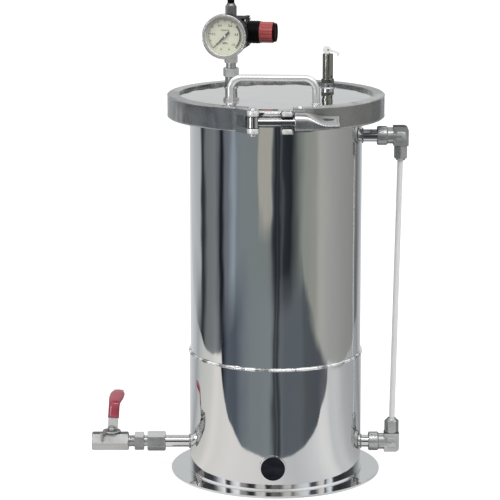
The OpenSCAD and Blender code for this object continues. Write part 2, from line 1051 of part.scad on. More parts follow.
// Pin of the relief lever
module relief_pin() {
    color(steel)
        translate([relief_x, relief_y, relief_pin_z])
            rotate([90, 0, 0])
                cylinder(r = relief_pin_r, h = 2 * (cheek_y + cheek_t), center = true);
}

// Tee under the tank: up to the dish, left to the drain, right to the level gauge
module drain_tee() {
    stub_top = dish_z - dish_depth + 1;
    color(steel)
        difference() {
            union() {
                to_right(-tee_arm, drain_z)
                    cylinder(r = tee_r, h = 2 * tee_arm);
                translate([0, 0, drain_z])
                    cylinder(r = tee_r, h = tee_r + 6);
                translate([0, 0, drain_z])
                    cylinder(r = pipe_r, h = stub_top - drain_z);
            }
            translate([0, 0, drain_z])
                cylinder(r = pipe_in, h = stub_top);
            to_right(-tee_arm, drain_z)
                cylinder(r = pipe_in, h = 2 * tee_arm);
            to_right(-tee_arm - over, drain_z)
                cylinder(r = pipe_hole, h = socket_l + over);
            to_right(tee_arm - socket_l, drain_z)
                cylinder(r = pipe_hole, h = socket_l + over);
        }
}

// Drain pipe from the tee to the union
module drain_pipe() {
    color(steel)
        to_left(-tee_arm + socket_l, drain_z)
            tube(pipe_r, pipe_in, -union_x + 2.5 - tee_arm + socket_l);
}

// Union nut of the drain
module union_nut() {
    turn = 8;
    wall = 3;
    color(steel)
        to_left(union_x, drain_z)
            rotate([0, 0, turn])
                difference() {
                    hex_bar(union_af, union_l, 1.6);
                    translate([0, 0, -over])
                        cylinder(r = pipe_hole, h = wall + over);
                    translate([0, 0, wall - 0.4])
                        cylinder(r = union_room_r, h = union_l - 7);
                    cylinder(r = neck_r + clear, h = union_l + over);
                }
}

// Hex nipple between the union and the valve
module drain_nipple() {
    tail_x = union_x - 2.7;
    end_x = valve_x - neck_in;
    color(steel)
        difference() {
            union() {
                to_left(tail_x, drain_z)
                    cylinder(r = union_room_r - 0.1, h = 6);
                to_left(tail_x, drain_z)
                    cylinder(r = neck_r, h = tail_x - end_x);
                to_left(nipple_x, drain_z)
                    rotate([0, 0, 10])
                        hex_bar(nipple_af, nipple_l);
            }
            to_left(tail_x + over, drain_z)
                cylinder(r = ball_bore, h = tail_x - end_x + 2 * over);
        }
}

// Ball valve body: hexagonal bar bored from both ends
module valve_body() {
    boss_r = 7;
    color(dull)
        difference() {
            union() {
                to_left(valve_x, drain_z)
                    rotate([0, 0, 30])
                        hex_bar(valve_af, valve_l, 1.8);
                translate([valve_mid, 0, valve_top - 1])
                    cylinder(r = boss_r, h = 2.2);
            }
            to_left(valve_x + over, drain_z)
                cylinder(r = neck_r + clear, h = neck_in + 0.2 + over);
            to_left(valve_x, drain_z)
                cylinder(r = ball_bore, h = valve_l);
            to_left(valve_mid + ball_r + seat_t - 1.5, drain_z)
                cylinder(r = valve_bore_r, h = valve_l);
            translate([valve_mid, 0, drain_z])
                cylinder(r = valve_stem_r + clear, h = valve_af);
        }
}

// Threaded insert that holds the seats and forms the outlet
module valve_insert() {
    inner_x = valve_mid - ball_r - seat_t + 1.6;
    outer_x = valve_x - valve_l;
    color(dull)
        difference() {
            to_left(inner_x, drain_z)
                cylinder(r = valve_bore_r - clear, h = inner_x - outer_x);
            to_right(outer_x - over, drain_z)
                cylinder(r = outlet_r, h = outlet_l + over);
            to_right(outer_x, drain_z)
                cylinder(r = ball_bore, h = valve_l);
        }
}

// Two seats that press on the ball
module valve_seats() {
    start = ball_r - 1.6;
    color("white")
        for (side = [-1, 1])
            difference() {
                translate([valve_mid + side * (start + seat_t / 2), 0, drain_z])
                    rotate([0, 90, 0])
                        cylinder(r = valve_bore_r - clear, h = seat_t - 0.1, center = true);
                translate([valve_mid, 0, drain_z])
                    sphere(r = ball_r + clear, $fn = 64);
                to_right(valve_mid - valve_l / 2, drain_z)
                    cylinder(r = ball_bore, h = valve_l);
            }
}

// Ball, shut: its bore runs across the line
module valve_ball() {
    color(steel)
        translate([valve_mid, 0, drain_z])
            difference() {
                sphere(r = ball_r, $fn = 64);
                rotate([90, 0, 0])
                    cylinder(r = ball_bore, h = 3 * ball_r, center = true);
                translate([-tang_t / 2 - clear, -ball_r, ball_r - 2.6])
                    cube([tang_t + 2 * clear, 2 * ball_r, 4]);
            }
}

// Stem that turns the ball
module valve_stem() {
    tang_z = drain_z + ball_r - 2.5;
    color(steel)
        translate([valve_mid, 0, 0]) {
            translate([-tang_t / 2, -valve_stem_r + 0.4, tang_z])
                cube([tang_t, 2 * valve_stem_r - 0.8, 4]);
            translate([0, 0, drain_z + ball_r + 0.1])
                cylinder(r = valve_stem_r, h = lever_plate_z - drain_z - ball_r + lever_t + 6);
        }
}

// Side view of the lever's strip: a steep rise and a long flat grip; from = 0 starts it at the foot
module lever_profile(from, thick) {
    bend = [6.5, lever_plate_z + 0.3];
    knee = [20, lever_plate_z + 34];
    tip = [56, lever_plate_z + 46];
    line = [bend + (knee - bend) * from, knee, tip];
    back = [for (i = [2 : -1 : 0]) line[i] + [-0.35, 1] * thick];
    polygon(concat(line, back));
}

// Lever of the ball valve, shut: it points to the back
module valve_lever() {
    tab_low = drain_z + 5;
    tab_w = 4;
    color(steel)
        translate([valve_mid, 0, 0]) {
            difference() {
                translate([0, 0, lever_plate_z])
                    linear_extrude(lever_t) {
                        circle(r = 8);
                        rotate([0, 0, lever_yaw])
                            translate([-lever_w / 2 + 0.4, 0])
                                square([lever_w - 0.8, 7.2]);
                        rotate([0, 0, tab_angle])
                            translate([5, -tab_w / 2])
                                square([16, tab_w]);
                    }
                cylinder(r = valve_stem_r + clear, h = 2 * lever_plate_z);
            }
            rotate([0, 0, lever_yaw])
                rotate([90, 0, 90])
                    translate([0, 0, -lever_w / 2])
                        linear_extrude(lever_w)
                            lever_profile(0, lever_t);
            rotate([0, 0, tab_angle])
                translate([18.8, -tab_w / 2 + 0.3, tab_low])
                    cube([2, tab_w - 0.6, lever_plate_z + 1.5 - tab_low]);
        }
}

// Nut that holds the lever on its stem
module lever_nut() {
    color(steel)
        translate([valve_mid, 0, lever_plate_z + lever_t + 0.05])
            difference() {
                hex_bar(10, 4.5, 0.8);
                translate([0, 0, -over])
                    cylinder(r = valve_stem_r + clear, h = 10);
            }
}

// Vinyl sleeve on the lever's grip
module lever_sleeve() {
    grow = (sleeve_t - lever_t) / 2;
    color("crimson")
        translate([valve_mid, 0, 0])
            rotate([0, 0, lever_yaw])
                rotate([90, 0, 90])
                    difference() {
                        translate([0, 0, -sleeve_w / 2])
                            linear_extrude(sleeve_w)
                                offset(r = grow)
                                    lever_profile(0.55, lever_t);
                        translate([0, 0, -lever_w / 2 - clear])
                            linear_extrude(lever_w + 2 * clear)
                                offset(delta = clear)
                                    lever_profile(0.2, lever_t);
                    }
}

// Upper nozzle of the level gauge, welded in the shell
module level_nozzle() {
    color(steel)
        to_right(shell_r - 2.5, level_z)
            tube(pipe_r, pipe_in, 32);
}

// Lower pipe of the level gauge, from the tee
module level_pipe() {
    color(steel)
        to_right(tee_arm - socket_l, drain_z)
            tube(pipe_r, pipe_in, elbow_low_x - elbow_reach - tee_arm + socket_l);
}

// Elbow along +X, with its outlet up (side = 1) or down (side = -1); x is the outlet's place
module elbow(x, z, side) {
    start = -elbow_w / 2 - elbow_neck_l - collar_l;
    pipe_seat = 12;
    way_r = 4.5;
    color(dull)
        translate([x, 0, z])
            difference() {
                union() {
                    rotate([90, 0, 0])
                        linear_extrude(elbow_d, center = true)
                            elbow_outline(side);
                    to_right(start, 0)
                        cylinder(r = elbow_neck_r, h = -start);
                    to_right(start, 0)
                        elbow_collar();
                    mirror([0, 0, side > 0 ? 0 : 1])
                        cylinder(r = nut_seat_r, h = elbow_h / 2 + 9);
                }
                to_right(start - over, 0)
                    cylinder(r = pipe_hole, h = pipe_seat + over);
                to_right(start, 0)
                    cylinder(r = way_r, h = -start);
                mirror([0, 0, side > 0 ? 0 : 1])
                    cylinder(r = way_r + 0.1, h = elbow_h);
            }
}

// Rounded band around the socket end of an elbow
module elbow_collar() {
    rotate_extrude()
        polygon([[0, 0], [collar_r - 1.2, 0], [collar_r, 1.2], [collar_r, collar_l - 1.5],
            [collar_r - 1.5, collar_l], [0, collar_l]]);
}

// Side view of the elbow's block: square, with the corner away from the outlet rounded
module elbow_outline(side) {
    w = elbow_w / 2;
    h = elbow_h / 2;
    difference() {
        translate([-w, -h])
            square([elbow_w, elbow_h]);
        difference() {
            translate([w - elbow_round, side > 0 ? -h - over : h - elbow_round])
                square([elbow_round + over, elbow_round + over]);
            translate([w - elbow_round, -side * (h - elbow_round)])
                circle(r = elbow_round);
        }
    }
}

// Upper elbow of the level gauge
module upper_elbow() {
    elbow(elbow_top_x, level_z, -1);
}

// Lower elbow of the level gauge
module lower_elbow() {
    elbow(elbow_low_x, drain_z, 1);
}

// Compression nut standing on z = 0, with a cone at its outer end
module tube_nut() {
    difference() {
        union() {
            hex_bar(tube_nut_af, tube_nut_h, 1.6);
            translate([0, 0, tube_nut_h - 1])
                cylinder(r1 = tube_nut_af / 2 - 0.8, r2 = 6, h = 4);
        }
        translate([0, 0, -over])
            cylinder(r = nut_seat_r + clear, h = tube_nut_h / 2 + over);
        cylinder(r = sight_d / 2 + 0.8, h = 2 * tube_nut_h);
    }
}

// The two compression nuts of the level gauge
module tube_nuts() {
    color(dull) {
        translate([elbow_low_x, 0, drain_z + elbow_h / 2 + 0.05])
            tube_nut();
        translate([elbow_top_x, 0, level_z - elbow_h / 2 - 0.05])
            mirror([0, 0, 1])
                rotate([0, 0, 30])
                    tube_nut();
    }
}

// Sight tube, which leans a little because the elbows don't line up
module sight_tube() {
    low = drain_z + elbow_h / 2 + 4;
    high = level_z - elbow_h / 2 - 4;
    lean = atan((elbow_top_x - elbow_low_x) / (high - low));
    color("whitesmoke", 0.6)
        translate([elbow_low_x, 0, low])
            rotate([0, lean, 0])
                tube(sight_d / 2, sight_d / 2 - 1, high - low);
}

base_ring();
skirt();
vent_rim();
tank_bottom();
tank_shell();
tank_flange();
lid_gasket();
lid_plate();
lid_handle();
air_nozzle();
relief_socket();
band_left();
band_right();
band_hinge_pin();
fork_rivet();
t_bolt_pin();
t_bolt();
wing_nut();
air_locknut();
air_stem();
regulator_body();
regulator_diaphragm();
regulator_spring();
regulator_bonnet();
adjusting_screw();
regulator_knob();
knob_cap();
inlet_fitting();
release_ring();
gauge_socket();
gauge_case();
gauge_bezel();
gauge_lens();
gauge_dial();
gauge_needle();
bourdon_tube();
relief_body();
relief_cap();
relief_spindle();
relief_spring();
relief_lever();
relief_pin();
drain_tee();
drain_pipe();
union_nut();
drain_nipple();
valve_body();
valve_insert();
valve_seats();
valve_ball();
valve_stem();
valve_lever();
lever_nut();
lever_sleeve();
level_nozzle();
level_pipe();
upper_elbow();
lower_elbow();
tube_nuts();
sight_tube();
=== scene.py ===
"""Looks of the resin pressure pot: materials, modelled details, studio and camera around the CAD frame."""

import json
import math
import random

import bmesh
import bpy
from mathutils import Matrix, Vector

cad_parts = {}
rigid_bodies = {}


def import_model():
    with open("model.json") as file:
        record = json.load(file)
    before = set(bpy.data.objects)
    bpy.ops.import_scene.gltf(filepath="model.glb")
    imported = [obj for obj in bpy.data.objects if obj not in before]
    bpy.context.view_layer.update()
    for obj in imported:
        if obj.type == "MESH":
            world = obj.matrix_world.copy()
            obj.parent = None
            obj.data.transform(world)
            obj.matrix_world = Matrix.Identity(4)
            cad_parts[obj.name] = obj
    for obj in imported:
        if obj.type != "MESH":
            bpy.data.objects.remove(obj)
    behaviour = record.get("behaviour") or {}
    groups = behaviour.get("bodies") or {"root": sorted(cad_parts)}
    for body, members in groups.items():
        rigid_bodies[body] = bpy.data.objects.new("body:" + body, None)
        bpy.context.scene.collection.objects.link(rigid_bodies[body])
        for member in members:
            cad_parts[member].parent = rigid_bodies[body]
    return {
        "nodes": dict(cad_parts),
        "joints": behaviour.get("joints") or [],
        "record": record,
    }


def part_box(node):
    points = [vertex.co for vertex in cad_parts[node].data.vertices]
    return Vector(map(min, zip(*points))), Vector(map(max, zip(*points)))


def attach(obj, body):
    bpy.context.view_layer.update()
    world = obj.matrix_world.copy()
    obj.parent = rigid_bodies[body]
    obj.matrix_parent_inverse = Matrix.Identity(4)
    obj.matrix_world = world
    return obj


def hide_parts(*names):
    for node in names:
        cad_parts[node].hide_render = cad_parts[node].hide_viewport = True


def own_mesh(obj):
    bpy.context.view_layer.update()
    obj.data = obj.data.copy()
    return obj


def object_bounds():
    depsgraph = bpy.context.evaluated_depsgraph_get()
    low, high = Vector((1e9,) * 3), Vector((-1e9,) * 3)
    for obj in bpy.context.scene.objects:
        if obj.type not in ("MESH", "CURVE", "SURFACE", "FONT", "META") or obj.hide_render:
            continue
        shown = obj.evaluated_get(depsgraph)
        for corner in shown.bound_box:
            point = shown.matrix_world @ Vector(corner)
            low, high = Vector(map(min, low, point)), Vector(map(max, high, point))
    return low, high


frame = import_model()
CAD_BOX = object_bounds()
NODES = frame["nodes"]
JOINTS = {joint["name"]: joint for joint in frame["joints"]}
MM = 0.001
Z_AXIS = Vector((0, 0, 1))


# ---- shader graphs

class Graph:
    """Short names for building a node tree."""

    def __init__(self, tree):
        self.nodes = tree.nodes
        self.links = tree.links

    def fill(self, item, inputs):
        """Links or sets the named inputs of a node."""
        for key, value in inputs.items():
            if isinstance(value, bpy.types.NodeSocket):
                self.links.new(value, item.inputs[key])
            else:
                item.inputs[key].default_value = value

    def node(self, kind, inputs=None, **settings):
        item = self.nodes.new(kind)
        for key, value in settings.items():
            setattr(item, key, value)
        self.fill(item, inputs or {})
        return item

    def place(self):
        return self.node("ShaderNodeTexCoord").outputs["Object"]

    def math(self, operation, a, b=0.0, clamp=False):
        return self.node("ShaderNodeMath", {0: a, 1: b}, operation=operation, use_clamp=clamp).outputs[0]

    def mix(self, factor, a, b):
        item = self.node("ShaderNodeMix", {"Factor": factor}, data_type="RGBA")
        self.fill(item, {"A": a, "B": b})
        return item.outputs["Result"]

    def blend(self, factor, a, b):
        return self.node("ShaderNodeMixShader", {0: factor, 1: a, 2: b}).outputs[0]

    def glow(self, color, strength=1.0):
        return self.node("ShaderNodeEmission", {"Color": color, "Strength": strength}).outputs[0]

    def backdrop(self, color, strength):
        return self.node("ShaderNodeBackground", {"Color": color, "Strength": strength}).outputs[0]

    def split(self, vector):
        return self.node("ShaderNodeSeparateXYZ", {0: vector}).outputs

    def span(self, value, low, high, out_low=0.0, out_high=1.0):
        item = self.node("ShaderNodeMapRange", {0: value, 1: low, 2: high, 3: out_low, 4: out_high})
        return item.outputs[0]

    def ramp(self, factor, stops):
        item = self.node("ShaderNodeValToRGB", {"Fac": factor})
        elements = item.color_ramp.elements
        for place, color in stops[2:]:
            elements.new(place)
        for element, (place, color) in zip(elements, sorted(stops)):
            element.position = place
            element.color = color
        return item.outputs["Color"]

    def noise(self, vector, scale, detail=3.0, roughness=0.5):
        item = self.node("ShaderNodeTexNoise",
                         {"Vector": vector, "Scale": scale, "Detail": detail, "Roughness": roughness})
        return item.outputs["Fac"]

    def stretched(self, vector, scale):
        return self.node("ShaderNodeMapping", {"Vector": vector, "Scale": scale}).outputs[0]


def rgb(red, green, blue):
    """Linear colour of a display colour from 0 to 255."""
    return tuple((c / 255) ** 2.2 for c in (red, green, blue)) + (1,)


def grey(value):
    return rgb(value, value, value)


def tint(color, factor, lift=0.0):
    """Colour times a factor plus a lift, at most 1."""
    return tuple(min(1.0, c * factor + lift) for c in color[:3]) + (1,)


def material(name):
    mat = bpy.data.materials.new(name)
    mat.use_nodes = True
    graph = Graph(mat.node_tree)
    return mat, graph, graph.nodes["Principled BSDF"]


def bump(graph, shader, height, strength, distance, normal=None):
    inputs = {"Height": height, "Strength": strength, "Distance": distance}
    if normal is not None:
        inputs["Normal"] = normal
    result = graph.node("ShaderNodeBump", inputs).outputs[0]
    graph.fill(shader, {"Normal": result})
    return result


def edge_wear(graph):
    """0 on flat skin, 1 on outer edges."""
    return graph.span(graph.node("ShaderNodeNewGeometry").outputs["Pointiness"], 0.505, 0.56)


CLOUD_SCALE = 55.0
RIPPLE_SCALE = 18.0
RIPPLE_DEPTH = 0.02
UPRIGHT = (1, 1, 0.3)


def metal(name, color, rough, grain, grain_scale, grain_depth, spread=0.05, ripple=0.0, wear=0.35,
          blotch=0.08, satin=0.0, outline=0.0):
    """Metal with grain stretched by three factors, soft blotches, slow ripples and bright edges.

    satin is the share of light that the skin scatters instead of mirroring.
    outline paints shade into the colour of the sides seen edge-on, a painted reflection of the dark room
    around, and dims their edge tint.
    """
    mat, graph, shader = material(name)
    place = graph.place()
    fine = graph.noise(graph.stretched(place, grain), grain_scale, 4.0, 0.6)
    cloud = graph.noise(place, CLOUD_SCALE, 4.0, 0.65)
    base = graph.mix(cloud, tint(color, 1 - blotch), color)
    base = graph.mix(graph.math("MULTIPLY", edge_wear(graph), wear), base, tint(color, 1.2, 0.05))
    # Painted shade: the sides seen edge-on turn towards dark grey in the colour, a painted reflection of the
    # dark room.
    if outline:
        facing = graph.node("ShaderNodeLayerWeight", {"Blend": 0.5}).outputs["Facing"]
        base = graph.mix(graph.span(facing, 0.4, 0.85, 0.0, outline), base, grey(30))
        graph.fill(shader, {"Specular Tint": grey(255 - 190 * outline)})
    level = graph.span(fine, 0.25, 0.75, rough - spread / 2, rough + spread / 2)
    cloudy = graph.span(cloud, 0.3, 0.7, 0.0, spread)
    graph.fill(shader, {"Base Color": base, "Metallic": 1.0 - satin,
                        "Roughness": graph.math("ADD", level, cloudy, clamp=True)})
    normal = bump(graph, shader, fine, grain_depth, 0.0005)
    if ripple:
        slow = graph.noise(graph.stretched(place, UPRIGHT), RIPPLE_SCALE, 2.0, 0.5)
        bump(graph, shader, slow, ripple, RIPPLE_DEPTH, normal)
    return mat


def weld_metal(name):
    """Polished weld: rippled scales with gaps between them; the light scales and dark gaps in its colour are
    partly the weld's own ripples, partly painted highlight and painted shade.
    """
    mat, graph, shader = material(name)
    place = graph.place()
    scales_and_glints = graph.noise(graph.stretched(place, UPRIGHT), 80.0, 2.0, 0.55)
    fine = graph.noise(place, 500.0, 3.0, 0.6)
    # Colour from grey 158 to 248 with the scales: partly the weld's own tone, partly painted highlight on the
    # scales and painted shade in the gaps.
    graph.fill(shader, {"Base Color": graph.mix(graph.span(scales_and_glints, 0.4, 0.56), grey(158), grey(248)),
                        "Metallic": graph.span(scales_and_glints, 0.4, 0.55, 0.95, 0.6),
                        "Roughness": graph.span(fine, 0.3, 0.7, 0.08, 0.2)})
    bump(graph, shader, scales_and_glints, 0.2, 0.002, bump(graph, shader, fine, 0.1, 0.0005))
    return mat


def plastic(name, color, rough, grain_scale, grain_depth, coat=0.0, wear=0.25, shine=0.5):
    """Moulded plastic: a fine skin, uneven gloss and paler edges."""
    mat, graph, shader = material(name)
    place = graph.place()
    fine = graph.noise(place, grain_scale, 3.0, 0.6)
    cloud = graph.noise(place, 60.0, 4.0, 0.6)
    base = graph.mix(cloud, tint(color, 0.82), color)
    base = graph.mix(graph.math("MULTIPLY", edge_wear(graph), wear), base, tint(color, 0.8, 0.1))
    graph.fill(shader, {"Base Color": base, "Specular IOR Level": shine, "Coat Weight": coat,
                        "Roughness": graph.span(cloud, 0.3, 0.7, rough * 0.85, rough * 1.15),
                        "Coat Roughness": 0.1})
    bump(graph, shader, fine, grain_depth, 0.0003)
    return mat


def clear_plastic(name, color, rough, alpha):
    """Thin clear or milky plastic, seen through by straight rays."""
    mat, graph, shader = material(name)
    cloud = graph.noise(graph.stretched(graph.place(), (1, 1, 0.1)), 120.0, 4.0, 0.6)
    graph.fill(shader, {"Base Color": color,
                        "Roughness": graph.span(cloud, 0.3, 0.7, rough * 0.7, rough * 1.3),
                        "Alpha": graph.span(cloud, 0.3, 0.7, alpha * 0.95, min(1.0, alpha * 1.05))})
    bump(graph, shader, cloud, 0.03, 0.0002)
    return mat


def print_material(name, color):
    """Printed ink, slightly worn."""
    mat, graph, shader = material(name)
    worn = graph.noise(graph.place(), 1400.0, 3.0, 0.6)
    faded = tint(color, 0.8, 0.05)
    graph.fill(shader, {"Base Color": graph.mix(graph.span(worn, 0.45, 0.75), color, faded),
                        "Roughness": graph.span(worn, 0.3, 0.7, 0.45, 0.65)})
    bump(graph, shader, worn, 0.05, 0.0001)
    return mat


EVEN = (1, 1, 1)
TURNED = (6, 1, 1)
STRAIGHT = (1, 1, 0.03)
# Colour, roughness, then stretch, scale and depth of the grain, spread of the roughness,
# ripple, wear, blotch, satin and outline (painted shade on the sides seen edge-on)
METALS = {
    "mirror_steel": (grey(226), 0.035, STRAIGHT, 500, 0.006, 0.03, 0.07, 0.3, 0.04),
    "flange_steel": (grey(205), 0.18, (1, 1, 4), 900, 0.03, 0.08),
    "clamp_steel": (grey(176), 0.2, EVEN, 1300, 0.12, 0.16, 0.25, 1.0, 0.5, 0.05),
    "bright_steel": (grey(224), 0.1, EVEN, 900, 0.02, 0.06, 0.01, 0.35, 0.08, 0.0, 0.5),
    "machined_steel": (grey(202), 0.22, TURNED, 1200, 0.1, 0.12, 0.0, 0.7, 0.25, 0.14, 0.65),
    "cast_steel": (grey(204), 0.26, EVEN, 1100, 0.3, 0.14, 0.0, 0.8, 0.4, 0.2, 0.8),
    "spring_steel": (grey(190), 0.25, EVEN, 1500, 0.04),
    "brass": (rgb(205, 180, 120), 0.25, EVEN, 1200, 0.05),
    "relief_metal": (rgb(176, 176, 168), 0.16, (1, 1, 0.1), 900, 0.05, 0.1, 0.0, 0.6, 0.2, 0.0, 0.5),
    "handle_tube": (grey(240), 0.07, EVEN, 900, 0.02, 0.05, 0.0, 0.3, 0.06, 0.3, 0.75),
    "pressed_steel": (grey(190), 0.2, (1, 5, 5), 700, 0.1, 0.1, 0.3, 0.6, 0.25, 0.1, 0.5),
    "lug_steel": (grey(226), 0.14, EVEN, 900, 0.05, 0.1, 0.0, 0.7, 0.15, 0.42, 0.6),
    "dark_fitting": (grey(132), 0.22, TURNED, 1200, 0.08, 0.1, 0.0, 0.8, 0.3, 0.2),
    "bezel_steel": (grey(200), 0.08, EVEN, 1200, 0.04, 0.06, 0.0, 0.4, 0.12, 0.2, 0.8),
    "valve_steel": (grey(190), 0.26, TURNED, 1200, 0.1, 0.12, 0.0, 0.7, 0.25, 0.12, 0.6),
    "thread_steel": (grey(96), 0.24, EVEN, 1200, 0.08, 0.1, 0.0, 0.6, 0.3),
    "lever_plate": (grey(170), 0.28, EVEN, 1200, 0.08, 0.1, 0.0, 0.7, 0.25, 0.3, 0.6),
}
# Colour, roughness, scale and depth of the grain, clear coat, wear and shine
PLASTICS = {
    "black_plastic": (grey(9), 0.45, 1800, 0.12, 0.0, 0.03, 0.06),
    "red_plastic": (rgb(144, 58, 57), 0.34, 1500, 0.05, 0.15, 0.2, 0.4),
    "dark_red_plastic": (rgb(34, 8, 14), 0.45, 1500, 0.05, 0.0, 0.04, 0.03),
    "vinyl": (rgb(132, 26, 50), 0.25, 700, 0.06, 0.8, 0.1),
    "seal_rubber": (grey(90), 0.55, 900, 0.1),
    "diaphragm_rubber": (grey(60), 0.6, 900, 0.1),
    "ptfe": (grey(235), 0.45, 900, 0.05),
    "relief_lever_white": (grey(236), 0.35, 900, 0.05),
    "dial_enamel": (rgb(190, 191, 169), 0.5, 900, 0.02, 0.0, 0.0),
    "needle_black": (grey(26), 0.45, 900, 0.03, 0.0, 0.0),
}
MATERIALS = {name: metal(name, *finish) for name, finish in METALS.items()}
MATERIALS.update({name: plastic(name, *finish) for name, finish in PLASTICS.items()})
MATERIALS["weld_steel"] = weld_metal("weld_steel")
MATERIALS["dial_ink"] = print_material("dial_ink", grey(22))
MATERIALS["dial_red"] = print_material("dial_red", rgb(50, 26, 14))
MATERIALS["lens"] = clear_plastic("lens", grey(250), 0.03, 0.05)
MATERIALS["sight_nylon"] = clear_plastic("sight_nylon", grey(232), 0.3, 0.8)
# Finishes that differ from the rest of their slot
FINISH_OF = {
    "lid_handle": "handle_tube", "gauge_bezel": "bezel_steel", "gauge_case": "bezel_steel",
    "t_bolt_pin": "lug_steel", "fork_rivet": "lug_steel", "valve_lever": "lever_plate",
    "relief_cap": "bezel_steel", "lever_nut": "bezel_steel", "air_stem": "lug_steel",
    "air_locknut": "lug_steel", "inlet_fitting": "dark_fitting", "valve_body": "valve_steel",
}
SLOT_OF = {row["node"]: row["material_slot"] for row in frame["record"]["subparts"]}


# ---- CAD nodes

BEVEL_WIDTH = {
    "regulator_body": 1.2, "regulator_bonnet": 0.7, "regulator_knob": 0.5, "knob_cap": 1.0,
    "upper_elbow": 1.4, "lower_elbow": 1.4, "band_left": 0.7, "band_right": 0.7, "base_ring": 0.5,
    "lid_plate": 0.4, "skirt": 0.3, "relief_lever": 0.4, "valve_body": 0.5, "union_nut": 0.5,
}
NO_BEVEL = ("regulator_spring", "relief_spring", "gauge_dial", "lid_gasket", "tank_shell", "tank_bottom")
SMOOTH_ANGLE = math.radians(32)


def soften(obj, width, angle):
    """Rounds the edges that are sharper than an angle and lets large faces keep their shading."""
    if width:
        edge = obj.modifiers.new("edge", "BEVEL")
        edge.width = width
        edge.segments = 2
        edge.limit_method = "ANGLE"
        edge.angle_limit = angle
    obj.modifiers.new("normals", "WEIGHTED_NORMAL").keep_sharp = True


def cover(mesh, finish, smooth=True):
    mesh.materials.clear()
    mesh.materials.append(MATERIALS[finish])
    for polygon in mesh.polygons:
        polygon.use_smooth = smooth


def dress(node_name):
    """Gives a CAD node its material, soft edges and smooth shading."""
    obj = NODES[node_name]
    cover(obj.data, FINISH_OF.get(node_name, SLOT_OF[node_name]))
    obj.modifiers.new("weld", "WELD").merge_threshold = 1e-6
    soften(obj, 0 if node_name in NO_BEVEL else BEVEL_WIDTH.get(node_name, 0.3) * MM, SMOOTH_ANGLE)


for name in NODES:
    dress(name)


# ---- mesh helpers

BEAD_SIDES = 10


def add_object(name, data):
    obj = bpy.data.objects.new(name, data)
    bpy.context.scene.collection.objects.link(obj)
    return obj


def to_object(name, mesh, slot_name, body, finish, smooth=True):
    """Puts a mesh in the scene as a piece that rides on a body; finish overrules the slot's material."""
    obj = add_object(name, mesh)
    cover(mesh, finish or slot_name, smooth)
    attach(obj, body)
    return obj


def evaluated_mesh(obj):
    return bpy.data.meshes.new_from_object(obj.evaluated_get(bpy.context.evaluated_depsgraph_get()))


def finish_bmesh(bm, name, matrix=None, outward=True):
    """Mesh from a bmesh, its faces turned outward unless it is a flat print."""
    if outward:
        bmesh.ops.recalc_face_normals(bm, faces=bm.faces)
    mesh = bpy.data.meshes.new(name)
    bm.to_mesh(mesh)
    bm.free()
    if matrix is not None:
        mesh.transform(matrix)
    return mesh


def skin(rings, closed=False):
    """Bmesh over rings of points: a closed loop of rings, or a row of rings with capped ends."""
    bm = bmesh.new()
    rows = [[bm.verts.new(point) for point in ring] for ring in rings]
    count = len(rows)
    for i in range(count if closed else count - 1):
        row, after = rows[i], rows[(i + 1) % count]
        for j in range(len(row)):
            k = (j + 1) % len(row)
            bm.faces.new((row[j], row[k], after[k], after[j]))
    if not closed:
        bm.faces.new(reversed(rows[0]))
        bm.faces.new(rows[-1])
    return bm


def skinned(name, rings, slot_name, body="pot", finish=None, matrix=None):
    """Piece skinned over a row of rings."""
    return to_object(name, finish_bmesh(skin(rings), name, matrix), slot_name, body, finish)


def turns(count):
    """Angles of count equal steps around a circle."""
    return [2 * math.pi * i / count for i in range(count)]


def in_mm(pairs, across=0.0, up=0.0):
    """Pairs in millimetres, in metres and moved by an offset in metres."""
    return [(across + a * MM, up + b * MM) for a, b in pairs]


def polar(radius, angle, z=0.0):
    return Vector((radius * math.cos(angle), radius * math.sin(angle), z))


def lathe(profile, segments):
    """Bmesh of a closed profile of (radius, height) turned around Z."""
    return skin([[polar(r, a, z) for r, z in profile] for a in turns(segments)], closed=True)


def turned(name, profile, origin, direction, slot_name, body="pot", segments=48, finish=None, smooth=True):
    """Piece turned from a profile of (radius, height) that stands on origin along direction."""
    turn = Z_AXIS.rotation_difference(direction).to_matrix().to_4x4()
    mesh = finish_bmesh(lathe(profile, segments), name, Matrix.Translation(origin) @ turn)
    return to_object(name, mesh, slot_name, body, finish, smooth)


def rope(name, points, radius, waviness, slot_name, finish):
    """Closed round bead along points, with a slightly uneven radius."""
    rng = random.Random(len(name))
    rings = []
    count = len(points)
    for i, point in enumerate(points):
        ahead = (points[(i + 1) % count] - points[i - 1]).normalized()
        side = ahead.cross(Z_AXIS)
        side = side.normalized() if side.length > 1e-6 else Vector((1, 0, 0))
        other = side.cross(ahead).normalized()
        r = radius * (1 + waviness * rng.uniform(-1, 1))
        rings.append([point + (side * math.cos(a) + other * math.sin(a)) * r for a in turns(BEAD_SIDES)])
    return to_object(name, finish_bmesh(skin(rings, closed=True), name), slot_name, "pot", finish)


def superellipse(half_a, half_b, power, count):
    """Outline from a circle (power 2) to a rounded rectangle (higher powers)."""
    points = []
    for angle in turns(count):
        c, s = math.cos(angle), math.sin(angle)
        points.append((half_a * math.copysign(abs(c) ** (2 / power), c),
                       half_b * math.copysign(abs(s) ** (2 / power), s)))
    return points


def centre(node_name):
    low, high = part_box(node_name)
    return (low + high) / 2


def ease(value):
    value = min(1.0, max(0.0, value))
    return value * value * (3 - 2 * value)


# ---- weld beads

